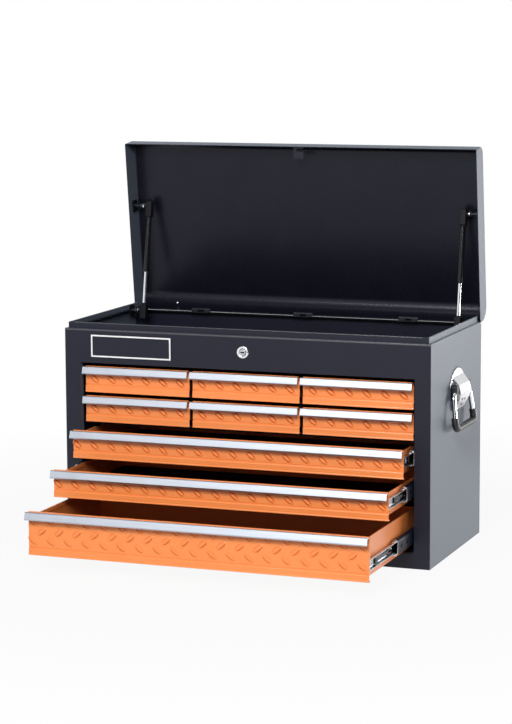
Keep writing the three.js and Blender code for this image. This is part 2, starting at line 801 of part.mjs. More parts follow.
const sides = { left: -1, right: 1 };
for (const [place, side] of Object.entries(sides)) {
  const strutGroup = new THREE.Group();
  strutGroup.position.set(side * strutX, -strutLidReach, strutLidRise);
  strutGroup.rotation.x = strutTurn + lidAngle;
  lidGroup.add(strutGroup);
  addPiece(`strut_${place}_cylinder`, buildStrutCylinder(), darkSteel, strutGroup);
  addPiece(`strut_${place}_rod`, buildStrutRod(), chrome, strutGroup);

  const blockHalf = endBlockWidth / 2;
  const lidWall = caseHalf - lidSheet - runningGap;
  const lidStud = buildStud(side, lidWall, strutX - blockHalf + studEndSetback, [-strutLidReach, strutLidRise]);
  addPiece(`strut_${place}_lid_stud`, lidStud, zinc, lidGroup);
  const footPlace = [hingeY - strutBodyReach, hingeZ - strutBodyDrop];
  const bodyStud = buildStud(side, neckHalf - neckSheet, strutX + blockHalf + runningGap, footPlace);
  addPiece(`strut_${place}_body_stud`, bodyStud, zinc);

  addPiece(`handle_${place}_bracket`, buildHandleBracket(side), chrome);
  addPiece(`handle_${place}_bail`, wire(bailCorners(side), bailBend, bailRadius), chrome);
  addPiece(`handle_${place}_grip`, buildGrip(side), rubber);
}

addPiece('lock_housing', buildLockHousing(), chrome);
addPiece('lock_plug', buildLockPlug(), chrome);
addPiece('lock_cam', buildLockCam(), darkSteel);

// The drawers, from the top row down
const smallRows = ['bottom', 'top'];
const smallColumns = ['left', 'middle', 'right'];
for (const [row, rowName] of smallRows.entries()) {
  for (const [column, columnName] of smallColumns.entries()) {
    addDrawer(`small_drawer_${rowName}_${columnName}`, {
      centre: (column - (columnCount - 1) / 2) * columnPitch,
      bottom: smallBottom + row * smallRowPitch,
      faceHeight: smallFace,
      faceHalf: smallFaceHalf,
      boxHalf: smallBoxHalf,
      length: smallDrawerLength,
      flange: smallFlange,
      out: 0,
    });
  }
}

const wideDrawers = {
  upper: { bottom: upperBottom, faceHeight: upperFace, out: upperOut },
  middle: { bottom: middleBottom, faceHeight: middleFace, out: middleOut },
  deep: { bottom: deepBottom, faceHeight: deepFace, out: deepOut },
};
for (const [name, sizes] of Object.entries(wideDrawers)) {
  const shared = { centre: 0, faceHalf: wideFaceHalf, boxHalf: wideBoxHalf, length: wideDrawerLength, flange: 0 };
  addDrawer(`wide_drawer_${name}`, { ...shared, ...sizes });
  for (const [place, side] of Object.entries(sides)) {
    addSlide(`slide_${name}_${place}`, side, sizes.bottom, sizes.out);
  }
}

export default chest;
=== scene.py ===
import json
from math import atan2, cos, pi, radians, sin

import bmesh
import bpy
from mathutils import Matrix, Vector

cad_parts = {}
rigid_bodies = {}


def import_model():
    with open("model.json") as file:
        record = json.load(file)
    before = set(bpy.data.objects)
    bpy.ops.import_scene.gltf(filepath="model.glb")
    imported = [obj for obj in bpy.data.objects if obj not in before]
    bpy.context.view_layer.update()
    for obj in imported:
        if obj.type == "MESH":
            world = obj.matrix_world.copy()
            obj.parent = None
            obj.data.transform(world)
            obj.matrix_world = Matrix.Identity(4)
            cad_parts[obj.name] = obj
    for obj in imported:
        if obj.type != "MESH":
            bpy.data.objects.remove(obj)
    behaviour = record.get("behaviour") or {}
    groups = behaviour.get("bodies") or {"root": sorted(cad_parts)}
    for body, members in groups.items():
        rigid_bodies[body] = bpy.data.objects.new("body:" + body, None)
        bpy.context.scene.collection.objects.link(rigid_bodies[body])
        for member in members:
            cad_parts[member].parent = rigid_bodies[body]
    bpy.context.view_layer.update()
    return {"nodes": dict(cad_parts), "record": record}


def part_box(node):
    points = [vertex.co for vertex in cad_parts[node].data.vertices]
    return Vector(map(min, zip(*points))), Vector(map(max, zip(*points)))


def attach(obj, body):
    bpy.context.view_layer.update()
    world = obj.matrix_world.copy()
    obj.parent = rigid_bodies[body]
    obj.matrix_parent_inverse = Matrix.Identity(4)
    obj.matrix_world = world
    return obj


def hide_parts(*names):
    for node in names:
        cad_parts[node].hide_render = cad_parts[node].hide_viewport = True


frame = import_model()
nodes = frame["nodes"]
sceneObjects = bpy.context.scene.collection.objects
print("frame loaded:", len(nodes), "nodes")


def rotation(angle, axis):
    return Matrix.Rotation(radians(angle), 4, axis)


# camera, floor and light

photoView = {
    "place": (1.4320, -3.8854, 0.9181), "yaw": 20.681, "pitch": 8.322, "roll": -0.257, "lens": 119.05,
    "sensor": 36, "clipEnd": 60,
}


def addCamera():
    data = bpy.data.cameras.new("photoCamera")
    data.sensor_fit = "VERTICAL"
    data.sensor_height = photoView["sensor"]
    data.lens = photoView["lens"]
    data.clip_end = photoView["clipEnd"]
    camera = bpy.data.objects.new("photoCamera", data)
    turn = rotation(photoView["yaw"], "Z")
    tilt = rotation(90 - photoView["pitch"], "X")
    roll = rotation(photoView["roll"], "Z")
    camera.matrix_world = Matrix.Translation(photoView["place"]) @ turn @ tilt @ roll
    sceneObjects.link(camera)
    bpy.context.scene.camera = camera


softboxes = {
    "front": {"place": (0.55, -3.3, 2.15), "size": (1.5, 1.2), "watts": 108},
    "glint": {"place": (-0.75, -3.4, 2.3), "size": (0.6, 0.4), "watts": 16},
    "overhead": {"place": (0.1, -0.3, 3.0), "size": (1.8, 1.4), "watts": 12},
    "rightRear": {"place": (2.6, 2.1, 0.25), "size": (2.0, 0.5), "watts": 66},
}


def addSoftboxes():
    target = Vector((0, 0, 0.3))
    for name, box in softboxes.items():
        data = bpy.data.lights.new(name, "AREA")
        data.shape = "RECTANGLE"
        data.size, data.size_y = box["size"]
        data.energy = box["watts"]
        lamp = bpy.data.objects.new(name, data)
        lamp.location = box["place"]
        lamp.visible_camera = False
        lamp.rotation_euler = (target - lamp.location).to_track_quat("-Z", "Y").to_euler()
        sceneObjects.link(lamp)


# shader maths on sockets

class Value:
    def __init__(self, tree, socket):
        self.tree = tree
        self.socket = socket

    def maths(self, operation, first, second):
        node = self.tree.nodes.new("ShaderNodeMath")
        node.operation = operation
        for slot, item in zip(node.inputs, (first, second)):
            feed(self.tree, slot, item)
        return Value(self.tree, node.outputs[0])

    def __add__(self, other):
        return self.maths("ADD", self, other)

    def __radd__(self, other):
        return self.maths("ADD", other, self)

    def __sub__(self, other):
        return self.maths("SUBTRACT", self, other)

    def __rsub__(self, other):
        return self.maths("SUBTRACT", other, self)

    def __mul__(self, other):
        return self.maths("MULTIPLY", self, other)

    def __rmul__(self, other):
        return self.maths("MULTIPLY", other, self)


def feed(tree, socket, item):
    if isinstance(item, Value):
        tree.links.new(item.socket, socket)
    else:
        socket.default_value = item


# where the grey of a noise begins and ends
noiseRange = (0.3, 0.7)


class Finish:
    def __init__(self, name):
        self.material = bpy.data.materials.new(name)
        self.material.use_nodes = True
        self.tree = self.material.node_tree
        self.shader = self.tree.nodes["Principled BSDF"]
        self.spot = self.node("ShaderNodeTexCoord", out="Object")

    def node(self, kind, settings=None, values=None, out=0):
        node = self.tree.nodes.new(kind)
        for key, setting in (settings or {}).items():
            if key == "stops":
                for element, (spot, colour) in zip(node.color_ramp.elements, setting):
                    element.position, element.color = spot, colour
            else:
                setattr(node, key, setting)
        for key, item in (values or {}).items():
            feed(self.tree, node.inputs[key], item)
        return Value(self.tree, node.outputs[out])

    def noise(self, scale, detail=2, stretch=(1, 1, 1)):
        place = self.node("ShaderNodeMapping", {}, {"Vector": self.spot, "Scale": stretch})
        return self.node("ShaderNodeTexNoise", {}, {"Vector": place, "Scale": scale, "Detail": detail})

    def between(self, factor, low, high):
        stops = [(spot, (*colour, 1)) for spot, colour in zip(noiseRange, (low, high))]
        return self.node("ShaderNodeValToRGB", {"stops": stops}, {"Fac": factor})

    def spread(self, factor, low, high, fromLow=noiseRange[0], fromHigh=noiseRange[1]):
        return self.node("ShaderNodeMapRange", {"clamp": True}, {
            "Value": factor, "From Min": fromLow, "From Max": fromHigh, "To Min": low, "To Max": high})

    def bump(self, height, distance):
        return self.node("ShaderNodeBump", {}, {"Height": height, "Distance": distance})

    def done(self, values):
        for key, item in values.items():
            feed(self.tree, self.shader.inputs[key], item)
        return self.material


def paintFinish(name, low, high, roughness, coat=0.0, peel=0.00004, shine=0.5, coatRoughness=0.12,
                coatIor=1.5, sheen=0.0, tint=(1, 1, 1)):
    finish = Finish(name)
    mottle = finish.noise(scale=14, detail=3)
    grain = finish.noise(scale=900)
    waves = finish.noise(scale=160)
    return finish.done({
        "Base Color": finish.between(mottle, low, high),
        "Roughness": finish.spread(grain, roughness - 0.03, roughness + 0.04),
        "Specular IOR Level": shine,
        "Specular Tint": (*tint, 1),
        "Coat Weight": coat,
        "Coat Roughness": coatRoughness,
        "Coat IOR": coatIor,
        "Sheen Weight": sheen,
        "Sheen Roughness": 0.35,
        "Sheen Tint": (0.66, 0.79, 1.0, 1),
        "Normal": finish.bump(waves + grain * 0.4, peel),
    })


def metalFinish(name, low, high, roughness, stretch=(1, 1, 1), scale=300, scratch=0.00001, metallic=1.0):
    finish = Finish(name)
    streaks = finish.noise(scale, 3, stretch)
    cloud = finish.noise(scale=30)
    return finish.done({
        "Base Color": finish.between(streaks, low, high),
        "Metallic": metallic,
        "Roughness": finish.spread(cloud, roughness - 0.04, roughness + 0.05),
        "Normal": finish.bump(streaks, scratch),
    })


def mouldedFinish(name, low, high, roughness, shine=0.5):
    finish = Finish(name)
    grain = finish.noise(scale=1400)
    cloud = finish.noise(scale=40)
    return finish.done({
        "Base Color": finish.between(cloud, low, high),
        "Roughness": finish.spread(grain, roughness - 0.05, roughness + 0.05),
        "Specular IOR Level": shine,
        "Normal": finish.bump(grain, 0.00004),
    })


caseColour = ((0.006, 0.007, 0.017), (0.008, 0.009, 0.020))
caseGloss = {"coatRoughness": 0.34, "coatIor": 1.15}


def makeFinishes():
    return {
        "paint": paintFinish("powderCoat", *caseColour, 0.46, coat=0.9, shine=0.25, sheen=0.6, **caseGloss),
        "inner_paint": paintFinish("innerPowderCoat", (0.003, 0.003, 0.005), (0.005, 0.005, 0.007), 0.6, shine=0.05),
        "plain_paint": paintFinish("powderCoatBack", *caseColour, 0.46, coat=0.5, shine=0.18, **caseGloss),
        # a darker copy of the case paint with a bluish tint on its reflection: painted shade inside the lid
        "lid_inside": paintFinish(
            "powderCoatInside", (0.003, 0.003, 0.008), (0.005, 0.005, 0.010), 0.28, shine=0.32, tint=(0.84, 0.86, 1.0)),
        # a lighter, glossier copy of the case paint: painted highlight for the ledge and neck folds
        "paint_edge": paintFinish(
            "powderCoatEdge", (0.020, 0.022, 0.034), (0.024, 0.026, 0.038), 0.26, coat=0.8, shine=0.7,
            coatRoughness=0.22),
        # darker copies of the orange paint: painted shade for the lens grooves
        "orange_groove": paintFinish("orangeGroove", (0.40, 0.048, 0.006), (0.46, 0.058, 0.008), 0.34, shine=0.4),
        "orange_shade": paintFinish("orangeShade", (0.62, 0.130, 0.022), (0.68, 0.145, 0.026), 0.34, shine=0.4),
        "orange_paint": paintFinish(
            "orangeGloss", (0.92, 0.270, 0.066), (0.95, 0.290, 0.076), 0.30, coat=0.2, peel=0.00005, shine=0.48),
        "aluminium": metalFinish("brushedAluminium", (0.42, 0.455, 0.515), (0.49, 0.52, 0.57), 0.46, (0.02, 1, 1), 900),
        "zinc": metalFinish("zincPlate", (0.50, 0.51, 0.54), (0.62, 0.63, 0.66), 0.28),
        "dark_steel": metalFinish("blackPlate", (0.018, 0.019, 0.027), (0.028, 0.030, 0.040), 0.36, metallic=0.6),
        "strut_tube": paintFinish(
            "strutPaint", (0.005, 0.005, 0.007), (0.008, 0.008, 0.011), 0.16, shine=0.3, peel=0.00001),
        "strut_block": mouldedFinish("strutBlock", (0.008, 0.008, 0.011), (0.012, 0.012, 0.016), 0.5, 0.12),
        "white_enamel": paintFinish("whiteEnamel", (0.86, 0.86, 0.87), (0.90, 0.90, 0.91), 0.4, peel=0.00001),
        "satin_chrome": metalFinish("satinChrome", (0.86, 0.87, 0.89), (0.92, 0.92, 0.93), 0.30, scratch=0.000004),
        "chrome": metalFinish("chromePlate", (0.80, 0.81, 0.84), (0.88, 0.89, 0.91), 0.09, scratch=0.000004),
        "grip_rubber": mouldedFinish("gripRubber", (0.008, 0.008, 0.010), (0.013, 0.013, 0.016), 0.42),
    }


def makeFloor():
    bm = bmesh.new()
    bmesh.ops.create_circle(bm, cap_ends=True, segments=96, radius=30)
    mesh = bpy.data.meshes.new("floor")
    bm.to_mesh(mesh)
    bm.free()
    floor = bpy.data.objects.new("floor", mesh)
    sceneObjects.link(floor)
    finish = Finish("studioFloor")
    glow = finish.node("ShaderNodeEmission", {}, {"Color": (1, 1, 1, 1)})
    paper = finish.node("ShaderNodeBsdfDiffuse", {}, {"Color": (0.5, 0.5, 0.5, 1)})
    seen = finish.node("ShaderNodeLightPath", out="Is Camera Ray")
    glossy = finish.node("ShaderNodeLightPath", out="Is Glossy Ray")
    away = finish.node("ShaderNodeVectorMath", {"operation": "LENGTH"}, {0: finish.spot}, out=1)
    fade = finish.spread(away, 0.93, 1.0, fromLow=0.6, fromHigh=1.3)
    near = finish.spread(away, 4.0, 0.5, fromLow=0.6, fromHigh=1.0)
    far = finish.spread(away, 0.0, 0.7, fromLow=1.1, fromHigh=1.7)
    gloss = near + far
    mixed = finish.node("ShaderNodeMixShader", {}, {0: seen * fade + glossy * gloss, 1: paper, 2: glow})
    finish.tree.nodes.remove(finish.shader)
    finish.tree.links.new(mixed.socket, finish.tree.nodes["Material Output"].inputs["Surface"])
    mesh.materials.append(finish.material)


studio = {
    "ambient": 0.22, "ceiling": 0.62, "ceilingRise": (0.08, 0.50), "darkSide": (0.80, -0.58, 0.12),
    "darkSpread": (0.72, 0.86), "darkShare": 0.9,
}


def lightWorld():
    # white to the camera; bright metal also sees a dim ceiling and one dark side of the studio
    world = bpy.data.worlds.new("studio")
    bpy.context.scene.world = world
    world.use_nodes = True
    tree = world.node_tree
    path = tree.nodes.new("ShaderNodeLightPath")
    direction = tree.nodes.new("ShaderNodeTexCoord").outputs["Generated"]

    def facing(towards, spread):
        dot = tree.nodes.new("ShaderNodeVectorMath")
        dot.operation = "DOT_PRODUCT"
        tree.links.new(direction, dot.inputs[0])
        dot.inputs[1].default_value = towards
        rise = tree.nodes.new("ShaderNodeMapRange")
        rise.inputs["From Min"].default_value, rise.inputs["From Max"].default_value = spread
        tree.links.new(dot.outputs["Value"], rise.inputs["Value"])
        return Value(tree, rise.outputs[0])

    seen = Value(tree, path.outputs["Is Camera Ray"]) + Value(tree, path.outputs["Is Transmission Ray"])
    glossy = Value(tree, path.outputs["Is Glossy Ray"])
    lit = (1 - facing((0, 0, 1), studio["ceilingRise"]) * studio["ceiling"]) * (
        1 - facing(studio["darkSide"], studio["darkSpread"]) * studio["darkShare"])
    strength = studio["ambient"] + seen * (1 - studio["ambient"]) + glossy * (lit - studio["ambient"])
    background = tree.nodes["Background"]
    background.inputs["Color"].default_value = (1, 1, 1, 1)
    tree.links.new(strength.socket, background.inputs["Strength"])


bpy.context.scene.view_settings.view_transform = "Standard"
addCamera()
addSoftboxes()
lightWorld()
makeFloor()
finishes = makeFinishes()
print("camera, light and", len(finishes), "finishes ready")


# pieces

slotOf = {part["node"]: part["material_slot"] for part in frame["record"]["subparts"]}
for name, cadNode in nodes.items():
    cadNode.data.materials.clear()
    cadNode.data.materials.append(finishes[slotOf[name]])

weld = 0.000001
near = 0.0001
longEdge = 0.5
edgeRadius = 0.0003


def place(name, bm, slotName, body, replaced=(), sharp=32, look=None):
    bmesh.ops.remove_doubles(bm, verts=bm.verts, dist=weld)
    for face in bm.faces:
        face.smooth = True
    mesh = bpy.data.meshes.new(name)
    bm.to_mesh(mesh)
    bm.free()
    mesh.set_sharp_from_angle(angle=radians(sharp))
    mesh.materials.append(finishes[look or slotName])
    piece = bpy.data.objects.new(name, mesh)
    sceneObjects.link(piece)
    piece.modifiers.new("evenShading", "WEIGHTED_NORMAL").keep_sharp = True
    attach(piece, body)
    if replaced:
        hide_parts(*replaced)


def addMesh(bm, part):
    mesh = bpy.data.meshes.new("part")
    part.to_mesh(mesh)
    part.free()
    bm.from_mesh(mesh)
    bpy.data.meshes.remove(mesh)


def move(bm, matrix):
    bmesh.ops.transform(bm, matrix=matrix, verts=bm.verts)


def faceOut(bm):
    bmesh.ops.recalc_face_normals(bm, faces=bm.faces)


def thicken(bm, thickness):
    bmesh.ops.solidify(bm, geom=bm.faces[:], thickness=thickness)


def quarterTurn(bm):
    # what was drawn along X now lies along Y
    move(bm, rotation(90, "Z"))


def roundEdges(bm, edges, radius, segments=2):
    bmesh.ops.bevel(bm, geom=edges, offset=radius, offset_type="OFFSET", affect="EDGES", segments=segments,
                    profile=0.5, material=-1, clamp_overlap=True)


def foldsAt(bm, spot):
    # the long edges along X that pass through a point in YZ
    return [edge for edge in bm.edges if edge.calc_length() > longEdge
            and all((vert.co.yz - Vector(spot)).length < near for vert in edge.verts)]


def sharpEdges(bm, angle):
    return [edge for edge in bm.edges if edge.is_manifold and edge.calc_face_angle(0) > radians(angle)]


def softBlock(xs, ys, zs, radius=0.0005, segments=2):
    # between two bounds on each axis, given in either order
    low, high = (Vector(corner) for corner in zip(*(sorted(pair) for pair in (xs, ys, zs))))
    bm = bmesh.new()
    matrix = Matrix.Translation((low + high) / 2) @ Matrix.Diagonal((*(high - low), 1))
    bmesh.ops.create_cube(bm, size=1, matrix=matrix)
    if radius:
        roundEdges(bm, bm.edges[:], radius, segments)
    return bm


def addBlock(bm, xs, ys, zs, radius, segments=2):
    addMesh(bm, softBlock(xs, ys, zs, radius, segments))


def softCopy(name, radius=0.0004, angle=30, folds=()):
    # the CAD shape with its edges eased, and the folds along X that are named by (y, z) rounded more
    bm = bmesh.new()
    bm.from_mesh(nodes[name].data)
    bmesh.ops.remove_doubles(bm, verts=bm.verts, dist=5 * weld)
    bmesh.ops.dissolve_limit(bm, angle_limit=radians(1), verts=bm.verts, edges=bm.edges)
    for spot, wide in folds:
        roundEdges(bm, foldsAt(bm, spot), wide, 4)
    roundEdges(bm, sharpEdges(bm, angle), radius)
    return bm


def pushed(bm, swept, step):
    # moves what an extrusion has made, and gives back its edges
    verts = [item for item in swept["geom"] if isinstance(item, bmesh.types.BMVert)]
    bmesh.ops.translate(bm, vec=step, verts=verts)
    return [item for item in swept["geom"] if isinstance(item, bmesh.types.BMEdge)
            and all(vert in verts for vert in item.verts)]


def foldedSheet(path, x0, x1, thickness, radius, segments=4):
    # a path in YZ drawn along X, its folds rounded, and given its thickness on the right of the path
    bm = bmesh.new()
    verts = [bm.verts.new((x0, y, z)) for y, z in path]
    edges = [bm.edges.new(pair) for pair in zip(verts, verts[1:])]
    pushed(bm, bmesh.ops.extrude_edge_only(bm, edges=edges), (x1 - x0, 0, 0))
    folds = [edge for edge in bm.edges if len(edge.link_faces) == 2]
    roundEdges(bm, folds, radius, segments)
    thicken(bm, thickness)
    faceOut(bm)
    return bm


def bar(outline, x0, length):
    # a closed outline in YZ drawn along X
    bm = bmesh.new()
    end = bm.faces.new([bm.verts.new((x0, y, z)) for y, z in outline])
    pushed(bm, bmesh.ops.extrude_face_region(bm, geom=[end]), (length, 0, 0))
    faceOut(bm)
    return bm


def turned(profile, steps=40, axis=(0, 0, 1), spot=(0, 0, 0)):
    # (radius, height) pairs spun round the axis; a profile that leaves the axis returns to its first point
    bm = bmesh.new()
    verts = [bm.verts.new((radius, 0, height)) for radius, height in profile]
    pairs = zip(verts, verts[1:]) if profile[0][0] == 0 else zip(verts, verts[1:] + verts[:1])
    edges = [bm.edges.new(pair) for pair in pairs]
    bmesh.ops.spin(bm, geom=verts + edges, cent=(0, 0, 0), axis=(0, 0, 1), angle=2 * pi, steps=steps, use_merge=True)
    bmesh.ops.remove_doubles(bm, verts=bm.verts, dist=weld)
    faceOut(bm)
    move(bm, Vector((0, 0, 1)).rotation_difference(Vector(axis)).to_matrix().to_4x4())
    move(bm, Matrix.Translation(spot))
    return bm


def rivet(spot, axis, radius=0.003, height=0.0011):
    dome = ((0, 1), (0.45, 0.94), (0.8, 0.62), (1, 0), (0, 0))
    return turned([(radius * out, height * up) for out, up in dome], 20, axis, spot)


def disc(spot, axis, radius, height, steps=24):
    rim = [(radius, 0), (radius, height * 0.6), (radius - height * 0.4, height)]
    return turned([(0, 0), *rim, (0, height)], steps, axis, spot)


# drawers

drawerFront = {
    "sheet": 0.001, "foldRadius": 0.0003, "lipReach": 0.0113,
    "steps": ((0.002, 0.0012), (0.0014, 0.0027), (0.0013, 0.0101), (0.0007, 0.0116),
              (-0.001, 0.0122), (-0.001, 0.0129), (0.0, 0.0138)),
    "creaseHeight": 0.0138, "stripLean": 0.002, "bead": (0.0045, 0.0006), "beadInset": 0.001,
    "beadRise": 0.0001, "beadRadius": 0.0011, "bottomReturn": 0.008, "sideReturn": (0.0004, 0.0036),
    "returnDrop": 0.003, "slideSlot": (0.0145, 0.0355),
}
drawerTray = {
    "frontGap": 0.0006, "raise": 0.0043, "dropFromLip": 0.0045, "wideInset": 0.008, "smallInset": 0.011,
    "flange": 0.0075, "flangeOverlap": 0.0005, "flangeSheet": 0.001, "cornerRadius": 0.003,
    "floorRadius": 0.0012, "hemDepth": 0.007, "hemThickness": 0.0022, "hemProud": 0.0004, "hemEnd": 0.003,
    "hemRadius": 0.0005,
}
drawerMat = {"sideGap": 0.003, "frontGap": 0.004, "backGap": 0.003, "lift": 0.001, "thickness": 0.0015}
# the stroke entries lay the painted shade in each lens groove
# in millimetres; a ring is half its length, half its width, and its height
lensBumps = {
    "rings": ((10.8, 5.3, -0.1), (9.9, 4.3, 1.5), (9.2, 3.9, 0.05), (8.5, 2.7, 0.05), (7.9, 2.1, 1.9), (7.0, 1.4, 2.2)),
    "endShare": 0.25, "steps": 12, "strokeTurns": (30, 48, 66, 84, 102, 120, 138, 150), "strokeRise": 0.06,
    "strokeOverlap": 0.15, "turn": 38, "pitch": 0.0319, "proud": 0.00005, "wideStart": -0.2892,
    "wideCounts": (19, 18, 19), "smallCount": 6, "shallowRow": 0.0226, "deepRows": (0.0242, 0.0403, 0.057),
    "deepShare": 0.6,
}
trimStrip = {
    "sheet": 0.0012, "height": 0.013, "hem": ((0.0016, 0), (0.0002, 0.0009)), "lean": 0.004,
    "cover": 0.0035, "topRadius": 0.0026, "overhang": 0.0026, "legDrop": 0.0028,
    "legReach": (0.004, 0.011),
}
wideNames = ["wide_drawer_upper", "wide_drawer_middle", "wide_drawer_deep"]
smallNames = [f"small_drawer_{row}_{column}" for row in ("bottom", "top") for column in ("left", "middle", "right")]


def drawerSizes(name):
    low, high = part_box(name)
    wide = name in wideNames
    inset = drawerTray["wideInset"] if wide else drawerTray["smallInset"]
    half = (high.x - low.x) / 2
    return {
        "centre": (low.x + high.x) / 2,
        "half": half,
        "boxHalf": half - inset,
        "faceY": low.y + drawerFront["lipReach"],
        "back": high.y,
        "bottom": low.z,
        "lip": high.z,
        "trimTop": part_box(name + "_trim")[1].z,
        "wide": wide,
    }


def spanOf(size, half):
    return size["centre"] - half, size["centre"] + half


def frontPanel(size):
    front, face = drawerFront, size["faceY"]
    lipUnder = size["lip"] - front["sheet"]
    path = [
        (face - front["stripLean"] + front["bottomReturn"], size["bottom"]),
        (face - front["stripLean"], size["bottom"]),
        *((face - lean, size["bottom"] + height) for lean, height in front["steps"]),
        (face, lipUnder),
        (face - front["lipReach"], lipUnder),
    ]
    x0, x1 = spanOf(size, size["half"])
    bm = foldedSheet(path, x0, x1, front["sheet"], front["foldRadius"])
    ahead, behind = front["bead"]
    addBlock(bm, (x0 + front["beadInset"], x1 - front["beadInset"]), (face - ahead, face + behind),
                 (lipUnder, size["trimTop"] + front["beadRise"]), front["beadRadius"], 3)
    return bm


def sideReturns(bm, size):
    front, face = drawerFront, size["faceY"]
    start, end = front["sideReturn"]
    bottom, top = size["bottom"] + front["creaseHeight"], size["lip"] - front["returnDrop"]
    spans = [(bottom, top)]
    if size["wide"]:
        slotLow, slotHigh = front["slideSlot"]
        spans = [(bottom, size["bottom"] + slotLow), (size["bottom"] + slotHigh, top)]
    for side in (-1, 1):
        edge = size["centre"] + side * size["half"]
        for span in spans:
            addBlock(bm, (edge, edge - side * front["sheet"]), (face + start, face + end), span, edgeRadius)


def trayShell(size):
    tray = drawerTray
    front, top = size["faceY"] + tray["frontGap"], size["lip"] - tray["dropFromLip"]
    floor = size["bottom"] + tray["raise"]
    bm = softBlock(spanOf(size, size["boxHalf"]), (front, size["back"]), (floor, top), 0)
    lids = [face for face in bm.faces if face.normal.z > 0.9]
    bmesh.ops.delete(bm, geom=lids, context="FACES_ONLY")
    uprights = [edge for edge in bm.edges if abs(edge.verts[0].co.z - edge.verts[1].co.z) > 0.01]
    roundEdges(bm, uprights, tray["cornerRadius"], 4)
    bottoms = [edge for edge in bm.edges if len(edge.link_faces) == 2
               and all(vert.co.z < floor + near for vert in edge.verts)]
    roundEdges(bm, bottoms, tray["floorRadius"])
    faceOut(bm)
    thicken(bm, drawerFront["sheet"])
    faceOut(bm)
    for side in (-1, 1):
        outer = size["centre"] + side * size["boxHalf"]
        addBlock(bm, (outer + side * tray["hemProud"], outer - side * tray["hemThickness"]),
                     (front + tray["hemEnd"], size["back"] - tray["hemEnd"]),
                     (top - tray["hemDepth"], top), tray["hemRadius"], 3)
        if not size["wide"]:
            addBlock(bm, (outer - side * tray["flangeOverlap"], outer + side * tray["flange"]),
                         (front + tray["flangeSheet"], size["back"]), (top - tray["flangeSheet"], top),
                         edgeRadius)
    return bm


# a near-black mat on the drawer floor, which also deepens the shade inside the drawer: partly painted shade
def linerAndShade(size):
    mat = drawerMat
    low = size["bottom"] + drawerTray["raise"] + mat["lift"]
    return softBlock(spanOf(size, size["boxHalf"] - mat["sideGap"]),
                     (size["faceY"] + mat["frontGap"], size["back"] - mat["backGap"]), (low, low + mat["thickness"]))


def standUp(bm, spot, lean):
    # what lies flat in XY is stood up on the drawer's front
    move(bm, Matrix.Translation(spot) @ rotation(90, "X") @ rotation(lean, "Z"))


def lens(spot, lean, share):
    bm = bmesh.new()
    flat = lensBumps["endShare"]
    before = None
    for length, width, height in lensBumps["rings"]:
        loop = bmesh.ops.create_circle(bm, segments=lensBumps["steps"], radius=1)["verts"]
        for vert in loop:
            rise = height * share * (flat + (1 - flat) * abs(vert.co.y))
            vert.co = Vector((vert.co.x * length, vert.co.y * width, rise)) / 1000
        if before:
            for index in range(len(loop)):
                bm.faces.new((before[index - 1], before[index], loop[index], loop[index - 1]))
        before = loop
    bm.faces.new(before)
    faceOut(bm)
    standUp(bm, spot, lean)
    return bm


def lensGrooveShade(spot, lean, share):
    # the painted shade: darker strokes laid in the groove on both long sides of a lens, or on the lower side of a
    # shallow one
    bm = bmesh.new()
    (outLength, outWidth, low), (inLength, inWidth, _) = lensBumps["rings"][2:4]
    height, overlap = low * share + lensBumps["strokeRise"], lensBumps["strokeOverlap"]
    for side in (-1, 1) if share == 1 else (-1,):
        pairs = []
        for turn in lensBumps["strokeTurns"]:
            run, rise = cos(radians(turn)), side * sin(radians(turn))
            pairs.append([bm.verts.new(Vector((run * length, rise * width, height)) / 1000)
                          for length, width in ((outLength, outWidth + overlap), (inLength, inWidth - overlap))])
        for before, after in zip(pairs, pairs[1:]):
            corners = (before[0], before[1], after[1], after[0])
            bm.faces.new(corners if side > 0 else corners[::-1])
    standUp(bm, spot, lean)
    return bm


def lensRows(bm, grooveShade, size, deep):
    bumps, pitch = lensBumps, lensBumps["pitch"]
    share = bumps["deepShare"] if deep else 1
    for index, height in enumerate(bumps["deepRows"] if deep else (bumps["shallowRow"],)):
        # the deep drawer's middle row leans the other way, half a pitch along
        odd = index % 2
        if size["wide"]:
            start, count = bumps["wideStart"] + odd * pitch / 2, bumps["wideCounts"][index]
        else:
            count = bumps["smallCount"]
            start = size["centre"] - pitch * (count - 1) / 2
        for step in range(count):
            spot = (start + pitch * step, size["faceY"] + bumps["proud"], size["bottom"] + height)
            lean = bumps["turn"] if odd else -bumps["turn"]
            addMesh(bm, lens(spot, lean, share))
            addMesh(grooveShade, lensGrooveShade(spot, lean, share))


def addDrawer(name):
    size, deep = drawerSizes(name), name == "wide_drawer_deep"
    bm = frontPanel(size)
    sideReturns(bm, size)
    addMesh(bm, trayShell(size))
    grooveShade = bmesh.new()
    lensRows(bm, grooveShade, size, deep)
    place(name + "_fine", bm, "orange_paint", name, [name])
    # darker orange strokes in the lens grooves: painted shade
    place(name + "_grooves", grooveShade, "orange_paint", name, look="orange_shade" if deep else "orange_groove")
    place(name + "_liner", linerAndShade(size), "inner_paint", name)


def addTrim(name):
    trim, node = trimStrip, name + "_trim"
    low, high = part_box(node)
    top, overhang = high.z, trim["overhang"]
    path = [
        *((low.y + behind, top - trim["height"] + above) for behind, above in trim["hem"]),
        (low.y + trim["lean"], top),
        (low.y + trim["lean"] + trim["cover"], top),
    ]
    bm = foldedSheet(path, low.x - overhang, high.x + overhang, trim["sheet"], trim["topRadius"])
    legTop = top - trim["legDrop"]
    addBlock(bm, (low.x, high.x), [low.y + reach for reach in trim["legReach"]],
                 (legTop - trim["sheet"], legTop), edgeRadius)
    place(name + "_trimFine", bm, "aluminium", name, [node])


for name in wideNames + smallNames:
    addDrawer(name)
    addTrim(name)
print("nine drawers ready")


# lid

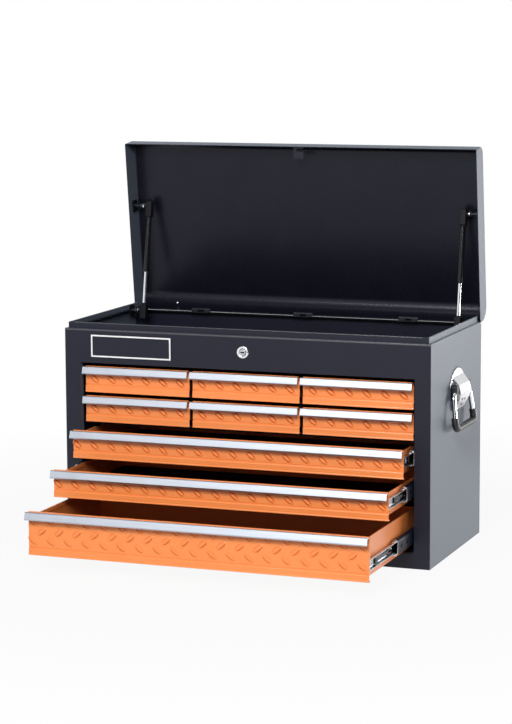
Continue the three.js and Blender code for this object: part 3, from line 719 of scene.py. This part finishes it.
lidPan = {
    "hinge": (0.1503, 0.3795), "openAngle": -83, "front": -0.3048, "rear": 0.0042, "reliefY": -0.0025,
    "reliefZ": 0.001, "rim": -0.001, "top": 0.0425, "frontRadius": 0.017, "rearRadius": 0.027,
    "sheet": 0.0012, "halfWidth": 0.33, "endRadius": 0.0022,
}
lidSkin = {"inset": 0.001, "sideGap": 0.0024, "lows": (0.0005, 0.0025), "openBelow": 0.003, "thickness": 0.0004}
lidRivet = {"x": -0.258, "angle": 40, "radius": 0.0028, "height": 0.0012}
lidPlace = Matrix.Translation((0, *lidPan["hinge"])) @ rotation(lidPan["openAngle"], "X")


def lidBlank(outline, half, inset, segments):
    # the pan as a solid bar, its front and rear long edges rounded
    pan = lidPan
    bm = bar(outline, -half, 2 * half)
    spots = (pan["front"] + inset, pan["rear"] - inset)
    for y, radius, steps in zip(spots, (pan["frontRadius"], pan["rearRadius"]), segments):
        roundEdges(bm, foldsAt(bm, (y, pan["top"] - inset)), radius - inset, steps)
    return bm


def addLid():
    pan = lidPan
    outline = [
        (pan["front"], pan["rim"]), (pan["front"], pan["top"]), (pan["rear"], pan["top"]),
        (pan["rear"], pan["reliefZ"]), (pan["reliefY"], pan["reliefZ"]), (pan["reliefY"], pan["rim"]),
    ]
    bm = lidBlank(outline, pan["halfWidth"], 0, (8, 10))
    below = [face for face in bm.faces if abs(face.normal.x) < 0.5
             and face.calc_center_median().z < pan["reliefZ"] + near]
    bmesh.ops.delete(bm, geom=below, context="FACES")
    ends = [edge for edge in bm.edges if len(edge.link_faces) == 2
            and sum(abs(face.normal.x) > 0.9 for face in edge.link_faces) == 1]
    roundEdges(bm, ends, pan["endRadius"], 3)
    faceOut(bm)
    thicken(bm, pan["sheet"])
    move(bm, lidPlace)
    place("lidPressed", bm, "paint", "lid", ["lid"], sharp=40)


def addLidPaintedShade():
    # a darker, duller copy of the case paint on the pan's inside, with a bluish tint on its reflection: painted shade,
    # as a skin that lies on the sheet
    pan, skin = lidPan, lidSkin
    front, rear, top = pan["front"] + skin["inset"], pan["rear"] - skin["inset"], pan["top"] - skin["inset"]
    frontLow, rearLow = skin["lows"]
    outline = [(front, frontLow), (front, top), (rear, top), (rear, rearLow)]
    bm = lidBlank(outline, pan["halfWidth"] - skin["sideGap"], skin["inset"], (10, 10))
    unseen = [face for face in bm.faces if abs(face.normal.x) > 0.5
              or face.calc_center_median().z < skin["openBelow"]]
    bmesh.ops.delete(bm, geom=unseen, context="FACES")
    thicken(bm, skin["thickness"])
    move(bm, lidPlace)
    place("lidInside", bm, "paint", "lid", sharp=40, look="lid_inside")


def addLidRivet():
    # one bright rivet on the inside of the rear curve
    pan, curve = lidPan, radians(lidRivet["angle"])
    reach = pan["rearRadius"] - pan["sheet"]
    spot = (lidRivet["x"], pan["rear"] - pan["rearRadius"] + reach * cos(curve),
            pan["top"] - pan["rearRadius"] + reach * sin(curve))
    bm = rivet(spot, (0, -cos(curve), -sin(curve)), lidRivet["radius"], lidRivet["height"])
    move(bm, lidPlace)
    place("lidRivet", bm, "zinc", "lid")


addLid()
addLidPaintedShade()
addLidRivet()
place("keeperFine", softCopy("lid_keeper"), "dark_steel", "lid", ["lid_keeper"])
for side in ("left", "middle", "right"):
    for leaf, body in (("body", "case"), ("lid", "lid")):
        node = f"hinge_{side}_{leaf}_leaf"
        place(node + "_fine", softCopy(node, 0.0003, 50), "dark_steel", body, [node])
print("lid and hinges ready")


# gas struts

# (radius, height) pairs are measured from the end that they stand on
strut = {
    "lidStud": (0.148936, 0.567031), "lean": (-0.1667, -0.986), "x": 0.298, "length": 0.19273,
    "blockHalf": (0.006, 0.007), "blockRadius": 0.0022, "upperBlock": (-0.0085, 0.0205),
    "upperNeck": ((0, -0.001), (0.0054, -0.001), (0.0054, 0.0012), (0.0048, 0.0018), (0, 0.0018)),
    "lowerBlock": (0.18003, 0.2082),
    "lowerNeck": ((0, -0.0018), (0.004, -0.0018), (0.0052, -0.0008), (0.0052, 0.001), (0, 0.001)),
    "tubeEnd": 0.1215, "tubeRadius": 0.005, "tubeRim": ((0, -0.0012), (-0.0005, -0.0003), (-0.0011, 0)),
    "boreRadius": 0.0034, "boreEnd": 0.042, "rodRadius": 0.003, "rodStart": 0.082, "rodOverlap": 0.002,
    "pinGap": 0.0064, "pinReach": 0.01, "pin": ((0, 0), (0.0034, 0), (0.0034, 0.0018), (0.0026, 0.0022)),
    "pinPlate": ((0.0026, -0.003), (0.005, -0.0026), (0.0054, -0.0012), (0.0054, 0), (0, 0)),
    "nut": ((0, 0.0028), (0.0036, 0.0028), (0.0046, 0.0038), (0.0046, 0.0056), (0.0036, 0.0066), (0, 0.0066)),
    "roundSteps": 28,
}


def strutPlace(side):
    down = Vector((0, *strut["lean"])).normalized()
    turn = Vector((0, 0, 1)).rotation_difference(down).to_matrix().to_4x4()
    return Matrix.Translation((side * strut["x"], *strut["lidStud"])) @ turn


def along(shape, start, out=0):
    return [(radius + out, height + start) for radius, height in shape]


def endBlock(span, neck):
    halfX, halfY = strut["blockHalf"]
    bm = softBlock((-halfX, halfX), (-halfY, halfY), span, strut["blockRadius"], 4)
    addMesh(bm, turned(neck, strut["roundSteps"]))
    return bm


def addStrut(name, side):
    down = strutPlace(side)
    high, start = strut["upperBlock"][1], strut["lowerBlock"][0]
    end, radius, bore, rod = strut["tubeEnd"], strut["tubeRadius"], strut["boreRadius"], strut["rodRadius"]
    tubeProfile = [(0, high), (radius, high), *along(strut["tubeRim"], end, radius),
                   (bore, end), (bore, strut["boreEnd"]), (0, strut["boreEnd"])]
    rodEnd = start + strut["rodOverlap"]
    rodProfile = [(0, strut["rodStart"]), (rod, strut["rodStart"]), (rod, rodEnd), (0, rodEnd)]
    cylinder, rodBody = f"strut_{name}_cylinder", f"strut_{name}_rod"
    for piece, bm, slotName, body, replaced, look in (
            ("UpperBlock", endBlock(strut["upperBlock"], along(strut["upperNeck"], high)),
             "grip_rubber", cylinder, (), "strut_block"),
            ("Tube", turned(tubeProfile), "strut_tube", cylinder, [cylinder], None),
            ("LowerBlock", endBlock(strut["lowerBlock"], along(strut["lowerNeck"], start)),
             "grip_rubber", rodBody, (), "strut_block"),
            ("Rod", turned(rodProfile, 32), "chrome", rodBody, [rodBody], None)):
        move(bm, down)
        place(name + piece, bm, slotName, body, replaced, look=look)
    # at each end a dark pin from the block to its plate, with a bright nut
    pin = [*strut["pin"], *along(strut["pinPlate"], strut["pinReach"])]
    for leaf, body, reach in (("lid", "lid", 0), ("body", "case", strut["length"])):
        node = f"strut_{name}_{leaf}_stud"
        place(node + "_fine", softCopy(node, 0.0004, 40), "zinc", body, [node], look="dark_steel")
        spot = down @ Vector((0, 0, reach)) + Vector((side * strut["pinGap"], 0, 0))
        for piece, profile, slotName in (("Pin", pin, "dark_steel"), ("Collar", strut["nut"], "chrome")):
            bm = turned(profile, strut["roundSteps"], (side, 0, 0), spot)
            place(name + leaf.capitalize() + piece, bm, slotName, body)


addStrut("left", -1)
addStrut("right", 1)
print("struts ready")


# ball slides

# distances along a slide are from the front end of its member
slideSheet = {
    "sheet": 0.0012, "lift": 0.0013, "railRadius": 0.0036, "innerHeight": 0.0176, "innerWeb": 0.2893,
    "innerLip": 0.2962, "tabs": ((0.03, 0.005), (0.104, 0.0035)), "tabHalf": 0.0052, "tabProud": 0.0009,
    "rivets": ((0.017, 0.0026), (0.08, 0.003), (0.132, 0.0034), (0.205, 0.0034)),
    "innerHoles": ((0.017, 0.0046), (0.172, 0.003)), "latch": (0.04, 0.122),
    "latchProud": (0.0002, 0.0034), "latchHalf": 0.0028, "latchEndHalf": 0.0058,
    "latchEnds": (0.012, 0.016), "latchRadius": 0.0008, "latchEndRadius": 0.0012, "midHeight": 0.0262,
    "midWeb": 0.3004, "midLip": 0.2934, "midHoles": (0.02, 0.052), "midHole": 0.0042, "midHoleRim": 0.005,
    "midRadiusShare": 1.2, "endProud": 0.0001, "endReach": (-0.0006, 0.0008), "cage": (-0.012, 0.07),
    "cageX": (-0.0004, 0.0002), "cageGaps": (0.0005, 0.0004), "cageRadius": 0.0009, "dark": 0.00025,
    "darkOutside": 0.00035, "rimProud": 0.0002,
}


def channel(xOpen, xWeb, z0, z1, y0, y1, radius):
    # a C section along Y, open towards xOpen, its sheet laid to the inside
    path = [(-xOpen, z1), (-xWeb, z1), (-xWeb, z0), (-xOpen, z0)]
    if (xWeb > 0) != (abs(xOpen) > abs(xWeb)):
        path.reverse()
    bm = foldedSheet(path, y0, y1, slideSheet["sheet"], radius, 5)
    quarterTurn(bm)
    return bm


def addInnerMember(level, name, side):
    rail, label, body = slideSheet, level + name.capitalize(), f"wide_drawer_{level}"
    low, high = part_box(f"slide_{level}_{name}_inner")
    middle, half, front = (low.z + high.z) / 2 + rail["lift"], rail["innerHeight"] / 2, low.y
    bm = channel(side * rail["innerLip"], side * rail["innerWeb"], middle - half, middle + half, front, high.y,
                 rail["railRadius"])
    wall = side * (rail["innerWeb"] + rail["sheet"])
    for reach, length in rail["tabs"]:
        addBlock(bm, (wall, wall + side * rail["tabProud"]), (front + reach, front + reach + length),
                     (middle - rail["tabHalf"], middle + rail["tabHalf"]), edgeRadius)
    for reach, radius in rail["rivets"]:
        addMesh(bm, rivet((wall, front + reach, middle), (side, 0, 0), radius))
    place(label + "Inner", bm, "zinc", body, [f"slide_{level}_{name}_inner"], sharp=35)
    # near-black discs on the wall stand for the holes: painted shade
    bm = bmesh.new()
    for reach, radius in rail["innerHoles"]:
        addMesh(bm, disc((wall, front + reach, middle), (side, 0, 0), radius, rail["dark"]))
    place(label + "InnerHoles", bm, "inner_paint", body)
    start, end = (front + reach for reach in rail["latch"])
    firstEnd, lastEnd = rail["latchEnds"]
    xs = [wall + side * proud for proud in rail["latchProud"]]
    middleZs, endZs = ((middle - part, middle + part) for part in (rail["latchHalf"], rail["latchEndHalf"]))
    bm = softBlock(xs, (start + firstEnd / 2, end), middleZs, rail["latchRadius"], 3)
    for ys in ((start, start + firstEnd), (end - lastEnd, end)):
        addBlock(bm, xs, ys, endZs, rail["latchEndRadius"], 3)
    place(label + "Latch", bm, "grip_rubber", body)
    return middle


def addMidMember(level, name, side, middle):
    rail, label, body = slideSheet, level + name.capitalize(), f"slide_{level}_{name}_mid"
    low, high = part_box(body)
    front, half, radius = low.y, rail["midHeight"] / 2, rail["railRadius"] * rail["midRadiusShare"]
    web, lip, sheet = rail["midWeb"], rail["midLip"], rail["sheet"]
    bm = channel(side * lip, side * web, middle - half, middle + half, front, high.y, radius)
    place(label + "Mid", bm, "dark_steel", body, [body], sharp=35, look="plain_paint")
    # near-black discs stand for the holes, painted shade; slightly larger lighter rings round them are a painted
    # highlight on the hole edges
    holeShade, rimHighlights = bmesh.new(), bmesh.new()
    for reach in rail["midHoles"]:
        inside, outside = ((side * x, front + reach, middle) for x in (web - sheet, web))
        addMesh(holeShade, disc(inside, (-side, 0, 0), rail["midHole"], rail["dark"]))
        addMesh(holeShade, disc(outside, (side, 0, 0), rail["midHole"], rail["darkOutside"]))
        addMesh(rimHighlights, disc(outside, (side, 0, 0), rail["midHoleRim"], rail["rimProud"]))
    place(label + "MidHole", holeShade, "inner_paint", body)
    place(label + "MidRims", rimHighlights, "dark_steel", body)
    # a thin zinc rim over the front end of the dark member: painted highlight on its edge
    proud, (start, end) = rail["endProud"], rail["endReach"]
    bm = channel(side * (lip - proud), side * (web + proud), middle - half - proud, middle + half + proud,
                 front + start, front + end, radius)
    place(label + "MidEnd", bm, "zinc", body)
    bm = bmesh.new()
    webGap, lipGap = rail["cageX"]
    innerGap, railGap = rail["cageGaps"]
    for edge in (-1, 1):
        inside, outside = rail["innerHeight"] / 2 + innerGap, half - sheet - railGap
        addBlock(bm, (side * (web - sheet + webGap), side * (lip + lipGap)),
                     [front + reach for reach in rail["cage"]],
                     (middle + edge * inside, middle + edge * outside), rail["cageRadius"], 3)
    place(label + "Cage", bm, "zinc", body)


for level in ("upper", "middle", "deep"):
    for name, side in (("left", -1), ("right", 1)):
        addMidMember(level, name, side, addInnerMember(level, name, side))
print("slides ready")


# lock

lockFace = {
    "centre": (0, 0.35), "front": 0.1563, "back": 0.1497, "seat": 0.1545, "ringRadius": 0.0107,
    "boreRadius": 0.0063, "barrelRadius": 0.0088,
    "outerRim": ((0, -0.0009), (-0.0006, -0.0002), (-0.0013, 0)),
    "innerRim": ((0.0012, 0), (0.0004, -0.0003), (0, -0.0008)), "ringSteps": 64, "notch": (0.0012, 0.0008),
    "notchSize": (0.0011, 0.00015), "plugRadius": 0.0058, "plugFront": -0.1569, "plugBack": -0.15,
    "plugSteps": 40, "plugEase": 0.0005, "keyway": (0.0036, 0.0012), "keyDepth": 0.003,
    "throat": (0.0002, 0.0036, 0.0001), "tenonHalf": 0.003, "tenonReach": (0.0005, 0.0006),
}


def addLockRing(spot):
    lock = lockFace
    rim, bore, barrel, front = lock["ringRadius"], lock["boreRadius"], lock["barrelRadius"], lock["front"]
    profile = [(bore, lock["back"]), (barrel, lock["back"]), (barrel, lock["seat"]), (rim, lock["seat"]),
               *along(lock["outerRim"], front, rim), *along(lock["innerRim"], front, bore)]
    ring = turned(profile, lock["ringSteps"], (0, -1, 0), spot)
    place("lockRing", ring, "chrome", "case", ["lock_housing"], sharp=50)
    # a near-black disc marks the notch in the ring: painted shade
    inset, rise = lock["notch"]
    notch = disc(spot + Vector((rim - inset, -front, rise)), (0, -1, 0), *lock["notchSize"], 16)
    place("lockNotch", notch, "inner_paint", "case")


def addLockPlug(spot):
    lock = lockFace
    bm = bmesh.new()
    outer = bmesh.ops.create_circle(bm, segments=lock["plugSteps"], radius=lock["plugRadius"])["verts"]
    slot = bmesh.ops.create_circle(bm, segments=lock["plugSteps"], radius=1)["verts"]
    halfWidth, halfHeight = lock["keyway"]
    for vert in slot:
        angle = atan2(vert.co.y, vert.co.x)
        run, rise = cos(angle), sin(angle)
        stretch = min(halfWidth / max(abs(run), near), halfHeight / max(abs(rise), near))
        vert.co = Vector((run * stretch, rise * stretch, 0))
    outerEdges = [edge for edge in bm.edges if edge.verts[0] in outer]
    slotEdges = [edge for edge in bm.edges if edge.verts[0] not in outer]
    bmesh.ops.bridge_loops(bm, edges=outerEdges + slotEdges)
    for edges, depth in ((outerEdges, lock["plugBack"] - lock["plugFront"]), (slotEdges, lock["keyDepth"])):
        rim = pushed(bm, bmesh.ops.extrude_edge_only(bm, edges=edges), (0, 0, -depth))
        bmesh.ops.edgenet_fill(bm, edges=rim)
    faceOut(bm)
    roundEdges(bm, outerEdges, lock["plugEase"], 3)
    move(bm, Matrix.Translation(spot + Vector((0, lock["plugFront"], 0))) @ rotation(90, "X"))
    half, (overlap, past) = lock["tenonHalf"], lock["tenonReach"]
    addBlock(bm, (-half, half), (lock["plugBack"] - overlap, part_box("lock_cam")[1].y + past),
                 (spot.z - half, spot.z + half), edgeRadius)
    place("lockPlug", bm, "zinc", "lock", ["lock_plug"], sharp=40)
    # a near-black disc at the floor of the keyway: painted shade in the recess
    rise, radius, height = lock["throat"]
    floor = lock["plugFront"] + lock["keyDepth"] - rise
    place("keywayFloor", disc(spot + Vector((0, floor, 0)), (0, -1, 0), radius, height), "inner_paint", "lock")


x, z = lockFace["centre"]
addLockRing(Vector((x, 0, z)))
addLockPlug(Vector((x, 0, z)))
place("lockHook", softCopy("lock_cam"), "zinc", "lock", ["lock_cam"])
print("lock ready")


# side handles

handle = {
    "pivot": (0.338, 0.28), "barrelInner": 0.021, "topHalf": 0.048, "bottomHalf": 0.0575, "drop": 0.059,
    "lean": 0.0075, "bend": 0.011, "bendSteps": 12, "wireRadius": 0.004, "gripRadius": 0.006,
    "gripStart": 0.68,
}
# outlines are (y, z) on the case's side, sections (x, z) out from it
bracket = {
    "wall": 0.33, "sheet": 0.002, "rimEase": 0.0008, "rimFrom": 0.3315, "domeRadius": 0.0525,
    "domeCentre": 0.2655, "domeTurns": range(0, 55, 6),
    "ear": ((0.0446, 0.2935), (0.043, 0.2888), (0.034, 0.2872), (0.03, 0.283), (0.03, 0.26),
            (0.027, 0.2515), (0.018, 0.2485)),
    "saddle": ((0.3322, 0.304), (0.3422, 0.2915), (0.3455, 0.28), (0.343, 0.269), (0.3335, 0.25),
               (0.3325, 0.249)),
    "saddleHalf": 0.031, "saddleSheet": 0.0015, "saddleRadius": 0.0042, "padMiddle": 0.283,
    "padGrow": (0.4, 1.045, 1.055, 1), "blockStarts": (-0.043, 0.031), "blockWidth": 0.012,
    "blockX": (0.331, 0.3435), "blockZ": (0.266, 0.2935), "blockRadius": 0.0035,
    "topRivet": (0.3366, 0.2981), "topRivetAxis": (0.76, 0.65), "topRivetSize": (0.004, 0.0018),
    "earRivet": (0.3318, 0.036, 0.2985), "earRivetSize": (0.0032, 0.0014),
    "dimples": ((-0.014, 0.2672), (0.004, 0.2655), (0.0, 0.256)), "dimpleFoot": (0.3358, 0.25),
    "dimpleAxis": (0.894, -0.447), "dimpleSize": (0.0021, 0.0003),
}


def wire(name, corners, radius, slotName, body, replaced):
    # a round wire through the corners, each turned on a radius
    bend, steps = handle["bend"], handle["bendSteps"]
    points = [corners[0]]
    for before, corner, after in zip(corners, corners[1:], corners[2:]):
        incoming, outgoing = (corner - before).normalized(), (after - corner).normalized()
        angle = incoming.angle(outgoing)
        setback = bend * sin(angle / 2) / cos(angle / 2)
        inward = (outgoing - incoming).normalized()
        centre = corner + inward * (bend / cos(angle / 2))
        start = corner - incoming * setback - centre
        axis = incoming.cross(outgoing).normalized()
        for step in range(steps + 1):
            points.append(centre + Matrix.Rotation(angle * step / steps, 3, axis) @ start)
    points.append(corners[-1])
    curve = bpy.data.curves.new(name, "CURVE")
    curve.dimensions = "3D"
    curve.bevel_depth = radius
    curve.bevel_resolution = 6
    curve.use_fill_caps = True
    spline = curve.splines.new("POLY")
    spline.points.add(len(points) - 1)
    for point, where in zip(spline.points, points):
        point.co = (*where, 1)
    drawn = bpy.data.objects.new(name + "Path", curve)
    bm = bmesh.new()
    bm.from_mesh(bpy.data.meshes.new_from_object(drawn))
    bpy.data.objects.remove(drawn)
    place(name, bm, slotName, body, replaced, sharp=50)


def bracketFlange(side):
    # flat sheet on the case: a wide dome, two ears and a tongue
    radius, centre = bracket["domeRadius"], bracket["domeCentre"]
    turns = [radians(turn) for turn in bracket["domeTurns"]]
    half = [(radius * sin(turn), centre + radius * cos(turn)) for turn in turns] + list(bracket["ear"])
    outline = half + [(-y, z) for y, z in reversed(half[1:])]
    bm = bar(outline, side * bracket["wall"], side * bracket["sheet"])
    rim = [edge for edge in bm.edges if all(abs(vert.co.x) > bracket["rimFrom"] for vert in edge.verts)]
    roundEdges(bm, rim, bracket["rimEase"], 3)
    return bm


def bracketShadeAndBlocks(side):
    # the dark rim behind the flange, painted shade round its edge, and the two dark blocks that the bail turns in,
    # which also stand for the shade under the dome
    bm = bracketFlange(side)
    middle = Vector((side * bracket["wall"], 0, bracket["padMiddle"]))
    grow = Matrix.Diagonal(bracket["padGrow"])
    move(bm, Matrix.Translation(middle) @ grow @ Matrix.Translation(-middle))
    for y in bracket["blockStarts"]:
        addBlock(bm, [side * x for x in bracket["blockX"]], (y, y + bracket["blockWidth"]),
                     bracket["blockZ"], bracket["blockRadius"], 4)
    return bm


def bracketSaddle(side):
    # raised over the bail, with a long lower slope
    path = [(-side * x, z) for x, z in bracket["saddle"]]
    if side < 0:
        path.reverse()
    half = bracket["saddleHalf"]
    bm = foldedSheet(path, -half, half, bracket["saddleSheet"], bracket["saddleRadius"], 5)
    quarterTurn(bm)
    return bm


def addBracket(name, side):
    bm = bracketFlange(side)
    addMesh(bm, bracketSaddle(side))
    (x, z), (out, up) = bracket["topRivet"], bracket["topRivetAxis"]
    addMesh(bm, rivet((side * x, 0, z), (side * out, 0, up), *bracket["topRivetSize"]))
    x, y, z = bracket["earRivet"]
    for end in (-1, 1):
        addMesh(bm, rivet((side * x, end * y, z), (side, 0, 0), *bracket["earRivetSize"]))
    place(name + "Bracket", bm, "chrome", "case", [f"handle_{name}_bracket"], sharp=50, look="satin_chrome")
    place(name + "BracketPad", bracketShadeAndBlocks(side), "grip_rubber", "case")
    # near-black discs on the dimples: painted shade in them
    bm = bmesh.new()
    (footX, footZ), (out, up) = bracket["dimpleFoot"], bracket["dimpleAxis"]
    for y, height in bracket["dimples"]:
        x = footX + (height - footZ) / 2
        addMesh(bm, disc((side * x, y, height), (side * out, 0, up), *bracket["dimpleSize"]))
    place(name + "BracketHoles", bm, "inner_paint", "case")


def addHandle(name, side):
    body = f"handle_{name}"
    x, z = side * handle["pivot"][0], handle["pivot"][1]
    low = (x + side * handle["lean"], z - handle["drop"])
    shape = ((handle["barrelInner"], x, z), (handle["topHalf"], x, z), (handle["bottomHalf"], *low))
    corners = [Vector((x, -y, z)) for y, x, z in shape] + [Vector((x, y, z)) for y, x, z in reversed(shape)]
    wire(name + "Bail", corners, handle["wireRadius"], "chrome", body, [body + "_bail"])
    share = handle["gripStart"]
    grip = [corners[1].lerp(corners[2], share), corners[2], corners[3], corners[4].lerp(corners[3], share)]
    wire(name + "Grip", grip, handle["gripRadius"], "grip_rubber", body, [body + "_grip"])
    addBracket(name, side)


addHandle("left", -1)
addHandle("right", 1)
print("handles ready")


# nameplate, left blank

nameplate = {
    "x": (-0.281, -0.131), "z": (0.329, 0.369), "front": -0.1545, "thickness": 0.0009, "ease": 0.0004,
    "borderInset": 0.0008, "borderWidth": 0.0026, "borderProud": 0.0002, "borderEase": 0.0001,
}


def addNameplate():
    plate = nameplate
    face, proud = plate["front"] - plate["thickness"], plate["borderProud"]
    place("nameplate", softBlock(plate["x"], (face, plate["front"]), plate["z"], plate["ease"]), "paint", "case")
    inset, width = plate["borderInset"], plate["borderWidth"]
    (x0, x1), (z0, z1) = ((low + inset, high - inset) for low, high in (plate["x"], plate["z"]))
    border = bmesh.new()
    for xs, zs in (((x0, x1), (z0, z0 + width)), ((x0, x1), (z1 - width, z1)),
                   ((x0, x0 + width), (z0 + width, z1 - width)), ((x1 - width, x1), (z0 + width, z1 - width))):
        addBlock(border, xs, (face - proud, face + proud), zs, plate["borderEase"])
    place("nameplateBorder", border, "chrome", "case", look="white_enamel")


addNameplate()
print("nameplate ready")


# case

caseFinish = {"back_panel": "plain_paint"}
caseFolds = {
    "front_frame": (((-0.1545, 0.378), 0.0014), ((-0.1495, 0.3885), 0.001), ((-0.1471, 0.3885), 0.001)),
}
# the strips of painted highlight lie on the folds of the front frame; paths are (y, z)
ledgeStrips = {
    "endGap": 0.0004, "sheet": 0.0002, "ledge": ((-0.1546, 0.375), (-0.1546, 0.3781), (-0.1515, 0.3781)),
    "ledgeRadius": 0.0015,
    "neck": ((-0.1496, 0.3872), (-0.1496, 0.3886), (-0.147, 0.3886), (-0.147, 0.3872)),
    "neckRadius": 0.0011, "neckInset": 0.016,
}
# the near-black strip of painted shade over the back panel's flange
flangeStrip = {"endGap": 0.0015, "y": (-0.0003, -0.0015), "z": (-0.0016, 0.00025), "ease": 0.0002}


def softenCase():
    for name in ("cabinet_shell", "front_frame", "back_panel", "till_floor", "drawer_frame"):
        bm = softCopy(name, 0.00035, folds=caseFolds.get(name, ()))
        place(name + "_fine", bm, slotOf[name], "case", [name], look=caseFinish.get(name))


def ledgeEdges():
    # lighter, glossier strips on the folds of the ledge and of the neck: a painted highlight along their whole length
    strips, (low, high) = ledgeStrips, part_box("front_frame")
    x0, x1, inset = low.x + strips["endGap"], high.x - strips["endGap"], strips["neckInset"]
    bm = foldedSheet(strips["ledge"], x0, x1, strips["sheet"], strips["ledgeRadius"], 5)
    addMesh(bm, foldedSheet(strips["neck"], x0 + inset, x1 - inset, strips["sheet"], strips["neckRadius"]))
    place("ledgeEdges", bm, "paint", "case", look="paint_edge")


def tillSeal():
    # a dull, near-black strip over the flange behind the till: painted shade
    strip, (low, high) = flangeStrip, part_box("back_panel")
    gap, (front, back), (under, over) = strip["endGap"], strip["y"], strip["z"]
    bm = softBlock((low.x + gap, high.x - gap), (low.y + front, high.y + back), (high.z + under, high.z + over),
                   strip["ease"])
    place("tillSeal", bm, "inner_paint", "case")


softenCase()
ledgeEdges()
tillSeal()
print("case ready")

bpy.context.view_layer.update()
